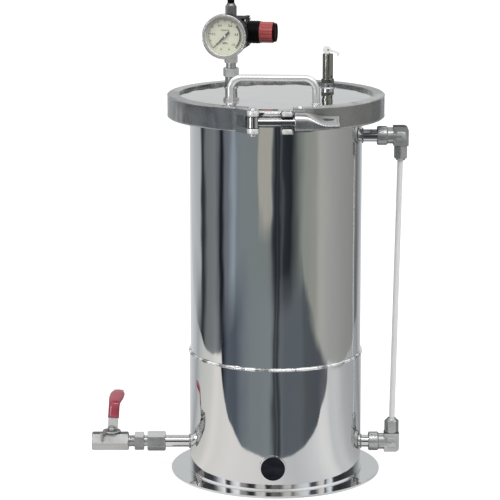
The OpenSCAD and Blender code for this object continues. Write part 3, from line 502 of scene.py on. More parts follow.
SKIRT_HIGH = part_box("skirt")[1]
SKIRT_R = SKIRT_HIGH.y
SHELL_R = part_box("tank_shell")[1].y
LID_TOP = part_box("lid_plate")[1].z
DRAIN_Z = centre("drain_pipe").z
LEVEL_Z = centre("level_nozzle").z
PIPE_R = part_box("drain_pipe")[1].y
AIR_CENTRE = centre("air_nozzle")
AIR_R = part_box("air_nozzle")[1].x - AIR_CENTRE.x
RELIEF_CENTRE = centre("relief_socket")
RELIEF_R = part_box("relief_socket")[1].x - RELIEF_CENTRE.x


def ring_bead(name, radius, z, bead, count, middle=(0, 0), slot_name="mirror_steel", waviness=0.03,
              finish=None):
    origin = Vector((middle[0], middle[1], z))
    rope(name, [origin + polar(radius, a) for a in turns(count)], bead, waviness, slot_name, finish)


def saddle_bead(name, side, drum_r, z, bead):
    """Bead around a pipe where it enters the drum on the +X or -X side."""
    reach = PIPE_R + 0.35 * bead
    points = []
    for angle in turns(64):
        y = reach * math.cos(angle)
        x = side * (math.sqrt(drum_r * drum_r - y * y) + 0.1 * bead)
        points.append(Vector((x, y, z + reach * math.sin(angle))))
    rope(name, points, bead, 0.12, "bright_steel", "dark_fitting")


def foot_fillet():
    """Fillet weld between the skirt and the base ring."""
    profile = in_mm([(-0.4, -0.3), (2.3, -0.3), (2.3, 0.1), (1.5, 0.6), (0.7, 1.4), (0.2, 2.3), (-0.4, 2.3)],
                    SKIRT_R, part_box("base_ring")[1].z)
    turned("weld_foot", profile, Vector(), Z_AXIS, "mirror_steel", segments=180)


def handle_feet():
    """Weld rings around the two feet of the handle."""
    verts = [v.co for v in NODES["lid_handle"].data.vertices if v.co.z < LID_TOP + 0.5 * MM]
    for side, name in ((-1, "weld_handle_left"), (1, "weld_handle_right")):
        foot = [v for v in verts if v.x * side > 0]
        middle = sum(foot, Vector()) / len(foot)
        radius = max((v - middle).length for v in foot)
        ring_bead(name, radius + 0.3 * MM, LID_TOP + 0.2 * MM, 1.1 * MM, 48, middle)


ring_bead("weld_skirt_top", SKIRT_R - 0.7 * MM, SKIRT_HIGH.z, 2.2 * MM, 110, waviness=0.12,
          finish="weld_steel")
foot_fillet()
saddle_bead("weld_drain_pipe", -1, SKIRT_R, DRAIN_Z, 1.5 * MM)
saddle_bead("weld_level_pipe", 1, SKIRT_R, DRAIN_Z, 1.5 * MM)
saddle_bead("weld_level_nozzle", 1, SHELL_R, LEVEL_Z, 1.7 * MM)
ring_bead("weld_air_nozzle", AIR_R + 0.4 * MM, LID_TOP, 1.3 * MM, 64, AIR_CENTRE, "bright_steel")
ring_bead("weld_relief_socket", RELIEF_R + 0.4 * MM, LID_TOP, 1.2 * MM, 64, RELIEF_CENTRE, "bright_steel")
handle_feet()


# ---- threads

LEFT = Vector((-1, 0, 0))
RIGHT = Vector((1, 0, 0))
BOLT_PIVOT = Vector(JOINTS["t_bolt_swing"]["pos_m"])
BOLT_R = 6.0 * MM
WING_LOW, WING_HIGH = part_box("wing_nut")


def thread(name, origin, direction, crest, length, pitch, body="pot", slot_name="machined_steel",
           finish=None):
    """Sleeve of thread crests around an axis, standing on origin."""
    root = crest - 0.55 * pitch
    inner = root - 0.6 * MM
    count = int(length / pitch)
    profile = [(inner, 0.0), (root, 0.0)]
    for i in range(count):
        z = i * pitch
        profile += [(root, z + 0.1 * pitch), (crest, z + 0.42 * pitch), (crest, z + 0.58 * pitch),
                    (root, z + 0.9 * pitch)]
    profile += [(root, count * pitch), (inner, count * pitch)]
    turned(name, profile, origin, direction, slot_name, body, finish=finish, smooth=False)


def build_threads():
    """Threads of the air stem, the drain nipple and the T-bolt."""
    stem_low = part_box("air_locknut")[1].z - 1.5 * MM
    stem_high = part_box("regulator_body")[0].z - 12.2 * MM
    for name, z, length in (("thread_air_stem", stem_low, 9.5), ("thread_air_stem_top", stem_high, 12.0)):
        thread(name, Vector((AIR_CENTRE.x, AIR_CENTRE.y, z)), Z_AXIS, 7.35 * MM, length * MM, 1.1 * MM)
    valve_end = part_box("valve_body")[1].x + 8.8 * MM
    union_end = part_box("drain_nipple")[0].x + 13.5 * MM
    for name, x, crest, length in (("thread_nipple_valve", valve_end, 8.25, 8.6),
                                   ("thread_nipple_union", union_end, 8.2, 3.9)):
        thread(name, Vector((x, 0, DRAIN_Z)), LEFT, crest * MM, length * MM, 1.3 * MM)
    thread("thread_t_bolt", Vector((WING_LOW.x - 22.0 * MM, BOLT_PIVOT.y, BOLT_PIVOT.z)), RIGHT,
           BOLT_R + 0.15 * MM, 21.5 * MM, 1.5 * MM, "t_bolt", "bright_steel", "thread_steel")


build_threads()


# ---- wing nut

NUT_ORIGIN = Vector((WING_LOW.x, BOLT_PIVOT.y, BOLT_PIVOT.z))
NUT_LENGTH = WING_HIGH.x - WING_LOW.x
NUT_SLEEVE_R = 13.5 * MM
NUT_BORE_R = 6.1 * MM
NUT_BORE_DEPTH = 25.0 * MM
NUT_CHAMFER = 1.2 * MM
NUT_ROUNDING = 0.9 * MM
NUT_SLEEVE_END = 15.0 * MM
NUT_FLAT_START = 43.0 * MM
NUT_HALF_WIDTH = 15.0 * MM
NUT_HALF_THICK = 3.2 * MM
NUT_TWIST = math.radians(20)
NUT_SIDES = 48
NUT_STEPS = 40
SLOT_MIDDLE = 45.5 * MM
SLOT_HALF_LENGTH = 8.5 * MM
SLOT_HALF_WIDTH = 3.6 * MM
SLOT_OFFSET = 1.0 * MM
SLOT_DEPTH = 9.0 * MM
SLOT_SIDES = 24


def twisted(reach, a, b):
    """Point of the nut at a reach along its axis, in the axes of its paddle."""
    return Vector((reach, a * math.cos(NUT_TWIST) - b * math.sin(NUT_TWIST),
                   a * math.sin(NUT_TWIST) + b * math.cos(NUT_TWIST)))


def nut_section(reach, shrink):
    """Outline of the nut at a reach along its axis: a circle that flattens to a paddle."""
    flat = ease((reach - NUT_SLEEVE_END) / (NUT_FLAT_START - NUT_SLEEVE_END))
    half_a = NUT_SLEEVE_R + (NUT_HALF_WIDTH - NUT_SLEEVE_R) * flat - shrink
    half_b = NUT_SLEEVE_R + (NUT_HALF_THICK - NUT_SLEEVE_R) * flat - shrink
    return [twisted(reach, a, b) for a, b in superellipse(half_a, half_b, 2 + 2.2 * flat, NUT_SIDES)]


def bore_section(radius, reach):
    return [twisted(reach, radius * math.cos(a), radius * math.sin(a)) for a in turns(NUT_SIDES)]


def cut_slot(nut):
    """Lens-shaped slot through the paddle, cut once and kept in the mesh."""
    rows = []
    for depth in (-SLOT_DEPTH, SLOT_DEPTH):
        outline = []
        for angle in turns(SLOT_SIDES):
            reach = SLOT_MIDDLE + SLOT_HALF_LENGTH * math.cos(angle)
            wide = SLOT_HALF_WIDTH * math.sin(angle) * (1 - 0.35 * math.cos(angle)) + SLOT_OFFSET
            outline.append(twisted(reach, wide, depth))
        rows.append(outline)
    cutter = add_object("cutter", finish_bmesh(skin(rows), "cutter", Matrix.Translation(NUT_ORIGIN)))
    cut = nut.modifiers.new("slot", "BOOLEAN")
    cut.operation = "DIFFERENCE"
    cut.object = cutter
    cut.solver = "EXACT"
    result = evaluated_mesh(nut)
    nut.modifiers.remove(cut)
    nut.data = result
    bpy.data.objects.remove(cutter)


def build_wing_nut():
    """Pressed nut: a bored sleeve that flattens to a slotted paddle."""
    rings = [bore_section(NUT_BORE_R, NUT_BORE_DEPTH), bore_section(NUT_BORE_R, NUT_CHAMFER),
             bore_section(NUT_BORE_R + NUT_CHAMFER, 0.0)]
    ends = [(0.0, NUT_ROUNDING), (0.25 * MM, 0.3 * MM), (NUT_ROUNDING, 0.0)]
    steps = [(NUT_ROUNDING + (NUT_LENGTH - 2.0 * MM) * i / NUT_STEPS, 0.0) for i in range(1, NUT_STEPS + 1)]
    tip = [(NUT_LENGTH - 0.35 * MM, 0.35 * MM), (NUT_LENGTH, 1.0 * MM)]
    rings += [nut_section(reach, shrink) for reach, shrink in ends + steps + tip]
    nut = skinned("wing_nut_pressed", rings, "bright_steel", "wing_nut", "pressed_steel",
                  Matrix.Translation(NUT_ORIGIN))
    cut_slot(nut)
    soften(nut, 0.4 * MM, math.radians(50))
    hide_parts("wing_nut")


build_wing_nut()


# ---- valve lever sleeve

LEVER_PIVOT = Vector(JOINTS["valve_lever_turn"]["pos_m"])
LEVER_BASE = Vector((LEVER_PIVOT.x, LEVER_PIVOT.y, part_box("lever_nut")[0].z - 2.05 * MM))
LEVER_YAW = math.radians(-8)
# Middle line of the sleeve: metres out from the pivot and up from the lever's plate
SLEEVE_PATH = [(0.0130, 0.0165), (0.0165, 0.0252), (0.0196, 0.0325), (0.0228, 0.0366), (0.0290, 0.0390),
               (0.0380, 0.0415), (0.0470, 0.0440), (0.0570, 0.0466)]
SLEEVE_HALF_WIDTH = 8.4 * MM
SLEEVE_HALF_THICK = 3.1 * MM
SLEEVE_TIP = 13.0 * MM


def smooth_path(points, per_span):
    """Catmull-Rom curve through a list of pairs, per_span points to each pair."""
    padded = [points[0]] + points + [points[-1]]
    result = []
    for i in range(1, len(padded) - 2):
        a, b, c, d = [Vector(p) for p in padded[i - 1:i + 3]]
        for j in range(per_span):
            t = j / per_span
            result.append(0.5 * (2 * b + (c - a) * t + (2 * a - 5 * b + 4 * c - d) * t * t
                                 + (3 * b - a - 3 * c + d) * t ** 3))
    result.append(Vector(points[-1]))
    return result


def build_sleeve():
    """Dipped vinyl sleeve: oval section, rounded tip, a soft lip at its open end."""
    path = smooth_path(SLEEVE_PATH, 6)
    lengths = [0.0]
    for a, b in zip(path, path[1:]):
        lengths.append(lengths[-1] + (b - a).length)
    total = lengths[-1]
    out = Vector((-math.sin(LEVER_YAW), math.cos(LEVER_YAW), 0))
    across = Vector((math.cos(LEVER_YAW), math.sin(LEVER_YAW), 0))
    rings = []
    for i, (point, length) in enumerate(zip(path, lengths)):
        before, after = path[max(0, i - 1)], path[min(len(path) - 1, i + 1)]
        ahead = (after - before).normalized()
        normal = -out * ahead.y + Z_AXIS * ahead.x
        left = min(1.0, (total - length) / SLEEVE_TIP)
        close = max(math.sqrt(1 - (1 - left) ** 2), 0.04)
        lip = 0.5 * MM * math.exp(-((length - 1.2 * MM) / (0.9 * MM)) ** 2)
        share = length / total
        half_w = (SLEEVE_HALF_WIDTH * (0.97 + 0.3 * ease((share - 0.3) / 0.35)) + lip) * close
        half_t = (SLEEVE_HALF_THICK * (1 + 0.12 * ease(share * 1.4)) + lip) * (0.35 + 0.65 * close)
        middle = LEVER_BASE + out * point.x + Z_AXIS * point.y
        rings.append([middle + across * a + normal * b for a, b in superellipse(half_w, half_t, 2.4, 32)])
    obj = skinned("lever_sleeve_dipped", rings, "vinyl", "valve_lever")
    soft = obj.modifiers.new("soft", "SUBSURF")
    soft.levels = soft.render_levels = 1
    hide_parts("lever_sleeve")


def build_lever_root():
    """Round root of the lever under its nut."""
    disc = in_mm([(5.0, 0.1), (12.6, 0.1), (13.0, 0.5), (13.0, 1.5), (12.6, 1.9), (5.0, 1.9)])
    turned("lever_root", disc, LEVER_BASE, Z_AXIS, "machined_steel", "valve_lever", 64, "lever_plate")


build_sleeve()
build_lever_root()


# ---- gauge dial print

NEEDLE = JOINTS["gauge_needle_turn"]
INTO = Vector(NEEDLE["axis"])
DIAL_PLATE_R = (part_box("gauge_dial")[1].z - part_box("gauge_dial")[0].z) / 2
DIAL_R = 0.97 * DIAL_PLATE_R
DIAL_LIFT = 0.42 * MM
# Frame of the dial's face: X to the reader's right, Y up, Z towards the reader
DIAL_FACE = Matrix((INTO.cross(Z_AXIS), Z_AXIS, -INTO)).transposed().to_4x4()
DIAL_FACE.translation = centre("gauge_dial") - INTO * DIAL_LIFT
DIAL_START = math.radians(225)
DIAL_SWEEP = math.radians(270)
DIAL_STEPS = 50
DIAL_MAJOR = 5
PRINT_Z = 0.03 * MM


def add_bar(bm, angle, inner, outer, half):
    aside = Vector((-math.sin(angle), math.cos(angle), 0)) * half
    low, high = polar(inner, angle, PRINT_Z), polar(outer, angle, PRINT_Z)
    bm.faces.new([bm.verts.new(p) for p in (low - aside, high - aside, high + aside, low + aside)])


def add_arc(bm, start, end, inner, outer, steps):
    angles = [start + (end - start) * i / steps for i in range(steps + 1)]
    rows = [[bm.verts.new(polar(radius, angle, PRINT_Z)) for radius in (inner, outer)] for angle in angles]
    for a, b in zip(rows, rows[1:]):
        bm.faces.new((a[0], a[1], b[1], b[0]))


def add_text(bm, text, size, x, y):
    """Adds flat letters centred on a point of the dial."""
    curve = bpy.data.curves.new("letters", "FONT")
    curve.body = text
    curve.size = size
    curve.align_x = "CENTER"
    curve.align_y = "CENTER"
    curve.resolution_u = 3
    curve.offset = 0.03 * size
    letters = add_object("letters", curve)
    mesh = evaluated_mesh(letters)
    mesh.transform(Matrix.Translation((x, y, PRINT_Z)))
    bm.from_mesh(mesh)
    bpy.data.objects.remove(letters)
    bpy.data.curves.remove(curve)
    bpy.data.meshes.remove(mesh)


def dial_piece(bm, name, finish):
    mesh = finish_bmesh(bm, name, DIAL_FACE, outward=False)
    obj = to_object(name, mesh, "needle_black", "pot", finish, smooth=False)
    obj.modifiers.new("ink", "SOLIDIFY").thickness = PRINT_Z


def build_dial():
    """Scale from 0 to 1.0 with its numbers, the unit, two marks and the limit arc."""
    black = bmesh.new()
    for i in range(DIAL_STEPS + 1):
        angle = DIAL_START - DIAL_SWEEP * i / DIAL_STEPS
        major = i % DIAL_MAJOR == 0
        add_bar(black, angle, DIAL_R * (0.74 if major else 0.8), DIAL_R * 0.88,
                (0.62 if major else 0.34) * MM)
    add_arc(black, DIAL_START - DIAL_SWEEP, DIAL_START, DIAL_R * 0.872, DIAL_R * 0.885, 90)
    for i in range(0, DIAL_STEPS + 1, 2 * DIAL_MAJOR):
        angle = DIAL_START - DIAL_SWEEP * i / DIAL_STEPS
        number = "0" if i == 0 else "%.1f" % (i / DIAL_STEPS)
        spot = polar(DIAL_R * 0.6, angle)
        add_text(black, number, 4.4 * MM, spot.x, spot.y)
    add_text(black, "MPa", 4.2 * MM, 0, -DIAL_R * 0.36)
    add_text(black, "PRESSURE", 2.9 * MM, 0, DIAL_R * 0.30)
    for mark in (-107, -73):
        start, end = math.radians(mark - 2.6), math.radians(mark + 2.6)
        add_arc(black, start, end, DIAL_R * 0.66, DIAL_R * 0.735, 4)
    dial_piece(black, "dial_scale", "dial_ink")
    red = bmesh.new()
    add_arc(red, math.radians(42), math.radians(-42), DIAL_R * 0.74, DIAL_R * 0.835, 30)
    dial_piece(red, "dial_limit_arc", "dial_red")


build_dial()


# ---- gauge, regulator and fittings

KNOB_AXIS = Vector(JOINTS["regulator_turn"]["axis"])
KNOB_SIDE = Z_AXIS.cross(KNOB_AXIS)
REGULATOR_MIDDLE = Vector((AIR_CENTRE.x, AIR_CENTRE.y, centre("regulator_body").z))
KNOB_START = Vector((AIR_CENTRE.x, AIR_CENTRE.y, JOINTS["regulator_turn"]["pos_m"][2]))
ROLL_R = 1.05 * MM
BEZEL_DEPTH = 9.5 * MM
SCREW_INSET = 17.6 * MM


def build_bezel_roll():
    """Rolled edge around the gauge's front, and a pale liner between the bezel and the dial whose white is a
    painted highlight along the bezel's inner rim.
    """
    low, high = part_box("gauge_bezel")
    radius = (high.z - low.z) / 2
    front = centre("gauge_bezel") - INTO * (BEZEL_DEPTH / 2 - 0.9 * MM)
    profile = [(radius - 1.2 * MM + ROLL_R * math.cos(a), ROLL_R * math.sin(a)) for a in turns(12)]
    turned("gauge_bezel_roll", profile, front, -INTO, "bright_steel", "pot", 96, "bezel_steel")
    # The liner is white plastic: painted highlight of the bezel's inner rim.
    inner = in_mm([(-0.1, 0.0), (-0.1, 4.9), (-1.6, 4.9), (-1.1, 0.2)], DIAL_PLATE_R)
    turned("gauge_liner", inner, DIAL_FACE.translation - INTO * 0.15 * MM, -INTO, "ptfe", "pot", 96)


def build_needle_tail():
    """Counterweight and hub cap of the needle."""
    zero = polar(1, DIAL_START)
    aside = Vector((-zero.y, zero.x, 0))
    outline = superellipse(3.6 * MM, 1.35 * MM, 4, 28)
    rings = [[-zero * (4.2 * MM + a) + aside * b + Z_AXIS * z for a, b in outline]
             for z in (2.3 * MM, 3.0 * MM)]
    skinned("needle_tail", rings, "needle_black", "gauge_needle", matrix=DIAL_FACE)
    cap = in_mm([(0.05, 0.9), (1.3, 0.7), (1.9, 0.1), (1.9, -0.6), (0.05, -0.6)])
    hub = DIAL_FACE.translation - INTO * 3.0 * MM
    turned("needle_cap", cap, hub, -INTO, "bright_steel", "gauge_needle", 32)


def build_regulator_details():
    """Four screws of the bonnet's flange, ribs on the bonnet and plugs in the two spare ports."""
    screw = in_mm([(0.05, 0.99), (0.84, 1.116), (1.08, 1.71), (1.92, 1.53), (2.4, 0.72), (2.4, -0.3),
                   (0.05, -0.3)])
    face = REGULATOR_MIDDLE + KNOB_AXIS * 23.4 * MM
    for i, (side, up) in enumerate(((-1, -1), (-1, 1), (1, -1), (1, 1))):
        spot = face + KNOB_SIDE * side * SCREW_INSET + Z_AXIS * up * SCREW_INSET
        turned("regulator_screw_%d" % i, screw, spot, KNOB_AXIS, "machined_steel", segments=20)
    ring = in_mm([(15.8, 0), (16.45, 0.3), (16.45, 0.9), (15.8, 1.2)])
    for i in range(3):
        spot = REGULATOR_MIDDLE + KNOB_AXIS * (28.5 + 4.6 * i) * MM
        turned("bonnet_rib_%d" % i, ring, spot, KNOB_AXIS, "black_plastic", "pot", 64)
    plug = in_mm([(0.05, 1.4), (5.2, 1.4), (6.0, 0.8), (6.0, -0.4), (0.05, -0.4)])
    for name, out in (("regulator_back_plug", -KNOB_AXIS), ("regulator_rear_port_plug", KNOB_SIDE)):
        turned(name, plug, REGULATOR_MIDDLE + out * 20.0 * MM, out, "machined_steel")


def build_knob_details():
    """Collar at the knob's foot and a pull ring near its end."""
    collar = in_mm([(14.6, 0), (15.35, 0.3), (15.35, 1.7), (14.6, 2.0)])
    band = in_mm([(13.0, 0), (13.75, 0.2), (13.75, 1.1), (13.0, 1.3)])
    for name, profile, out, slot_name in (("knob_collar", collar, 43.6, "red_plastic"),
                                          ("knob_cap_band", band, 62.6, "dark_red_plastic")):
        turned(name, profile, KNOB_START + KNOB_AXIS * out * MM, KNOB_AXIS, slot_name, "knob", 72)


def build_elbow_pads():
    """Raised casting pads on the front and back of both elbows."""
    for label, mid_z in (("upper", LEVEL_Z), ("lower", DRAIN_Z)):
        mid_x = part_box(label + "_elbow")[1].x - 10.7 * MM
        for side, place in ((-1, "front"), (1, "back")):
            rings = [[Vector((mid_x + a, side * out * MM, mid_z + b))
                      for a, b in superellipse(half * MM, half * MM, 6, 40)]
                     for out, half in ((10.2, 6.9), (10.95, 6.9), (11.25, 6.5))]
            skinned("elbow_pad_%s_%s" % (label, place), rings, "cast_steel")


build_bezel_roll()
build_needle_tail()
build_regulator_details()
build_knob_details()
build_elbow_pads()


# ---- clamp band

BAND_LOW, BAND_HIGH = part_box("band_left")
BAND_R = -BAND_LOW.x - 0.35 * MM
RIM_INSET = 1.7 * MM
RIM_R = 0.75 * MM
RIM_STEPS = 120
LUG_R = 8.2 * MM
LUG_HEIGHT = 8.0 * MM
EAR_X = 13.25 * MM
EAR_FRONT = 8.0 * MM
EAR_HALF_X = 6.6 * MM


def build_band_rims():
    """Raised rims along the top and bottom edges of the clamp band, fading at their ends."""
    for z, name in ((BAND_HIGH.z - RIM_INSET, "band_bead_top"), (BAND_LOW.z + RIM_INSET, "band_bead_bottom")):
        for start, end, label in ((94, 248, "left"), (-76, 86, "right")):
            rings = []
            for i in range(RIM_STEPS + 1):
                out = polar(1, math.radians(start + (end - start) * i / RIM_STEPS))
                fade = min(1.0, 6 * i / RIM_STEPS, 6 * (RIM_STEPS - i) / RIM_STEPS)
                r = RIM_R * max(0.05, fade)
                spot = out * BAND_R + Z_AXIS * z
                rings.append([spot + out * r * math.cos(a) + Z_AXIS * r * math.sin(a)
                              for a in turns(BEAD_SIDES)])
            skinned("%s_%s" % (name, label), rings, "clamp_steel")


def build_lug_faces():
    """Bright sleeves on the bolt's two ears and bright pads on the two ears that hold the nut."""
    wall = in_mm([(-0.2, 0.5), (0.1, 0.5), (0.3, 0.9)], LUG_R)
    wall += in_mm([(0.3, -0.9), (0.1, -0.5), (-0.2, -0.5)], LUG_R, LUG_HEIGHT)
    outline = superellipse(EAR_HALF_X, LUG_HEIGHT / 2 - 0.7 * MM, 6, 40)
    for level, label in ((BAND_LOW.z, "low"), (BAND_HIGH.z - LUG_HEIGHT, "high")):
        spot = Vector((BOLT_PIVOT.x, BOLT_PIVOT.y, level))
        turned("ear_sleeve_" + label, wall, spot, Z_AXIS, "bright_steel", finish="lug_steel")
        middle = Vector((EAR_X, BOLT_PIVOT.y - EAR_FRONT, level + LUG_HEIGHT / 2))
        rings = [[middle + Vector((a * size, -out * MM, b * size)) for a, b in outline]
                 for out, size in ((-0.2, 1.0), (0.2, 1.0), (0.35, 0.95))]
        skinned("ear_pad_" + label, rings, "bright_steel", finish="lug_steel")


build_band_rims()
build_lug_faces()


# ---- relief valve spring

SPRING_TURNS = 7
SPRING_WIRE_R = 0.6 * MM
SPRING_STEPS = 20


def build_relief_spring():
    """Coiled wire in the place of the relief valve's spring, whose top end is fixed; the coil keeps its
    length when the spindle lifts.
    """
    low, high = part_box("relief_spring")
    radius = (high.x - low.x) / 2 - SPRING_WIRE_R
    height = high.z - low.z
    climb = height - 2 * SPRING_WIRE_R
    axis = Vector((RELIEF_CENTRE.x, RELIEF_CENTRE.y, low.z + SPRING_WIRE_R))
    count = SPRING_TURNS * SPRING_STEPS
    rings = []
    for i in range(count + 1):
        out = polar(1, 2 * math.pi * i / SPRING_STEPS)
        middle = axis + out * radius + Z_AXIS * climb * i / count
        rings.append([middle + (out * math.cos(a) + Z_AXIS * math.sin(a)) * SPRING_WIRE_R for a in turns(12)])
    spring = skinned("relief_spring_coil", rings, "spring_steel")
    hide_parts("relief_spring")
    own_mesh(spring)


build_relief_spring()


# ---- studio

CAMERA_PITCH = math.radians(11.8)
CAMERA_DISTANCE = 3.374
CAMERA_AIM = Vector((-0.0365, 0.0, 0.3217))
CAMERA_LENS = 170.64
SENSOR = 36.0
FLOOR_SIZE = 40.0
FLOOR_DROP = 0.0002
FLOOR_GLOW = 0.72
FLOOR_FROM_BELOW = 170
INSIDE_SKIRT_R = 0.117
LAMP_AIM = (0, 0, CAD_BOX[1][2] / 2)
# White light that reaches matt skins from the horizon and from straight above
SKY_LOW = 0.45
SKY_HIGH = 1.5
# Share of the light that polished steel gives back
STEEL_SHARE = 0.78
# Edges of the table top and the carpet that polished steel mirrors, in metres from the pot's axis
TABLE_LEFT = 0.82
TABLE_RIGHT = 0.755
TABLE_FRONT = 0.285
TABLE_FRONT_SLANT = 0.06
TABLE_BLUR = 0.004
CARPET_LEFT = 1.07
CARPET_RIGHT = 0.66
CARPET_RIGHT_SLANT = 0.2
CARPET_RIGHT_BLUR = 0.04
CARPET_FRONT = 1.32
CARPET_BLUR = 0.22
# Pale upright panel far in front of the pot: reach in metres, edges in degrees from the front
WINDOW_REACH = 2.15
WINDOW_REACH_BLUR = 0.2
WINDOW_EDGES = (-24, -8)
WINDOW_BLUR = 1.2
# Slopes of view between which the walls turn to lamps, and the lamps to ceiling
LAMPS_RISE = (0.17, 0.23)
CEILING_RISE = (0.36, 0.46)
LARGE_SKINS = ("tank_shell", "skirt", "lid_plate", "tank_flange", "band_left", "band_right", "base_ring",
               "tank_bottom", "weld_foot", "relief_lever")

# Brightness around the pot as polished steel sees it: degrees from the front, then display red, green, blue.
# WALLS, CARPET and LAMPS go by direction of view, TABLE by where on the table top the view ends.
WALLS = [
    (-180, 188, 190, 190), (-158, 182, 184, 186), (-148, 176, 179, 181), (-131, 164, 167, 170),
    (-122, 156, 159, 162), (-117, 50, 52, 55), (-113, 50, 52, 55), (-107, 104, 107, 109),
    (-90, 110, 115, 118), (-85, 90, 94, 98), (-81, 32, 35, 41), (-77, 32, 35, 41), (-72, 96, 100, 108),
    (-66, 102, 106, 114), (-58, 134, 144, 152), (-52, 110, 118, 124), (-44, 114, 120, 122),
    (-32, 112, 119, 120), (-14, 112, 118, 118), (-8, 104, 108, 108), (-5, 62, 66, 68), (-3, 40, 44, 48),
    (-0.8, 42, 46, 50), (0.4, 62, 66, 70), (1.8, 38, 42, 46), (4, 46, 50, 54), (6, 72, 76, 78),
    (10, 44, 48, 52), (18, 36, 40, 44), (22, 58, 62, 64), (27, 80, 84, 84), (32, 112, 117, 113),
    (38, 129, 133, 127), (52, 136, 137, 131), (61, 155, 156, 151), (80, 145, 146, 144), (104, 135, 136, 133),
    (120, 130, 131, 129), (131, 122, 123, 122), (138, 92, 94, 96), (146, 132, 134, 135),
    (156, 172, 175, 178), (180, 188, 190, 190),
]
CARPET = [
    (-180, 188, 190, 190), (-155, 182, 184, 186), (-138, 160, 163, 166), (-128, 104, 106, 110),
    (-120, 42, 44, 48), (-116, 42, 44, 48), (-110, 100, 103, 106), (-90, 116, 121, 124), (-84, 80, 84, 90),
    (-79, 58, 62, 68), (-75, 30, 33, 40), (-71, 64, 68, 76), (-66, 80, 86, 94), (-55, 76, 82, 90),
    (-50, 88, 94, 102), (-44, 102, 109, 114), (-34, 112, 119, 123), (-10, 116, 123, 126), (-6, 104, 109, 113),
    (-3, 62, 66, 70), (-1, 58, 62, 66), (0, 78, 82, 86), (1.5, 54, 58, 62), (3.5, 58, 62, 66),
    (6, 94, 99, 103), (12, 86, 92, 97), (34, 86, 92, 96), (40, 77, 82, 86), (60, 74, 78, 84),
    (104, 130, 131, 129), (134, 120, 122, 123), (146, 150, 153, 155), (180, 188, 190, 190),
]
TABLE = [
    (-180, 204, 205, 206), (-150, 190, 192, 194), (-132, 172, 175, 178), (-122, 150, 153, 156),
    (-112, 178, 180, 178), (-100, 186, 188, 184), (-92, 191, 190, 187), (-80, 209, 206, 203),
    (-70, 203, 201, 198), (-50, 207, 206, 204), (-30, 203, 202, 201), (-8, 200, 199, 198),
    (8, 184, 184, 186), (20, 178, 179, 181), (33, 186, 188, 189), (46, 198, 199, 199), (56, 207, 207, 206),
    (62, 200, 201, 201), (68, 184, 185, 186), (78, 186, 187, 188), (84, 178, 180, 181), (92, 165, 167, 169),
    (104, 157, 158, 160), (122, 150, 152, 154), (136, 130, 133, 136), (150, 168, 171, 174),
    (180, 204, 205, 206),
]
# Lamps and dark gaps above the front of the room, between the wall and the ceiling
LAMPS = [
    (-180, 182, 185, 186), (-158, 176, 179, 180), (-140, 90, 91, 94), (-112, 66, 67, 71), (-96, 58, 60, 64),
    (-88, 122, 124, 128), (-80, 205, 208, 212), (-73, 238, 241, 246), (-68, 76, 78, 84), (-63, 56, 58, 64),
    (-58, 226, 229, 234), (-52, 236, 238, 241), (-47, 150, 152, 154), (-38, 138, 138, 136), (-34, 50, 51, 54),
    (-30, 56, 57, 60), (-27, 192, 193, 193), (-16, 206, 206, 204), (-13, 58, 59, 62), (-9, 50, 51, 54),
    (-5, 112, 112, 110), (6, 96, 96, 95), (10, 182, 182, 180), (20, 190, 189, 184), (24, 116, 113, 108),
    (29, 168, 168, 166), (36, 206, 208, 212), (44, 216, 220, 228), (48, 66, 70, 78), (55, 80, 84, 92),
    (59, 202, 201, 198), (68, 216, 215, 211), (72, 56, 58, 64), (76, 186, 194, 208), (80, 232, 236, 244),
    (84, 58, 60, 66), (98, 48, 49, 53), (128, 80, 81, 84), (158, 176, 179, 180), (180, 182, 185, 186),
]
RAMP_LIMIT = 31


def around(graph, turn, bands):
    """Colour by turn, 0 to 1 from the back over the left; two ramps, since one holds 32 stops."""
    left = [(b[0] / 360 + 0.5, rgb(*b[1:])) for b in bands if b[0] <= 0]
    right = [(b[0] / 360 + 0.5, rgb(*b[1:])) for b in bands if b[0] > 0]
    right = [left[-1]] + right
    assert max(len(left), len(right)) <= RAMP_LIMIT
    return graph.mix(graph.math("GREATER_THAN", turn, left[-1][0]), graph.ramp(turn, left),
                     graph.ramp(turn, right))


def ahead_of(graph, parts):
    """Distance towards the front, which is -Y."""
    return graph.math("MULTIPLY", parts["Y"], -1.0)


def turn_of(graph, vector):
    parts = graph.split(vector)
    return graph.span(graph.math("ARCTAN2", parts["X"], ahead_of(graph, parts)), -math.pi, math.pi)


def room_group():
    """Node group, direction in and colour out: walls, lamps above them, a light ceiling."""
    tree = bpy.data.node_groups.new("room", "ShaderNodeTree")
    tree.interface.new_socket("Direction", in_out="INPUT", socket_type="NodeSocketVector")
    tree.interface.new_socket("Color", in_out="OUTPUT", socket_type="NodeSocketColor")
    graph = Graph(tree)
    direction = graph.node("NodeGroupInput").outputs[0]
    turn = turn_of(graph, direction)
    height = graph.split(direction)["Z"]
    low = graph.mix(graph.span(height, *LAMPS_RISE), around(graph, turn, WALLS), around(graph, turn, LAMPS))
    ceiling = graph.ramp(height, [(0.0, grey(120)), (0.42, grey(180)), (0.52, grey(214)), (0.93, grey(226)),
                                  (0.975, grey(120)), (1.0, grey(104))])
    graph.node("NodeGroupOutput", {0: graph.mix(graph.span(height, *CEILING_RISE), low, ceiling)})
    return tree


def view_direction(graph):
    incoming = graph.node("ShaderNodeNewGeometry").outputs["Incoming"]
    return graph.node("ShaderNodeVectorMath", {0: incoming, "Scale": -1.0}, operation="SCALE").outputs[0]


def room_color(graph, room):
    return graph.node("ShaderNodeGroup", {0: view_direction(graph)}, node_tree=room).outputs[0]


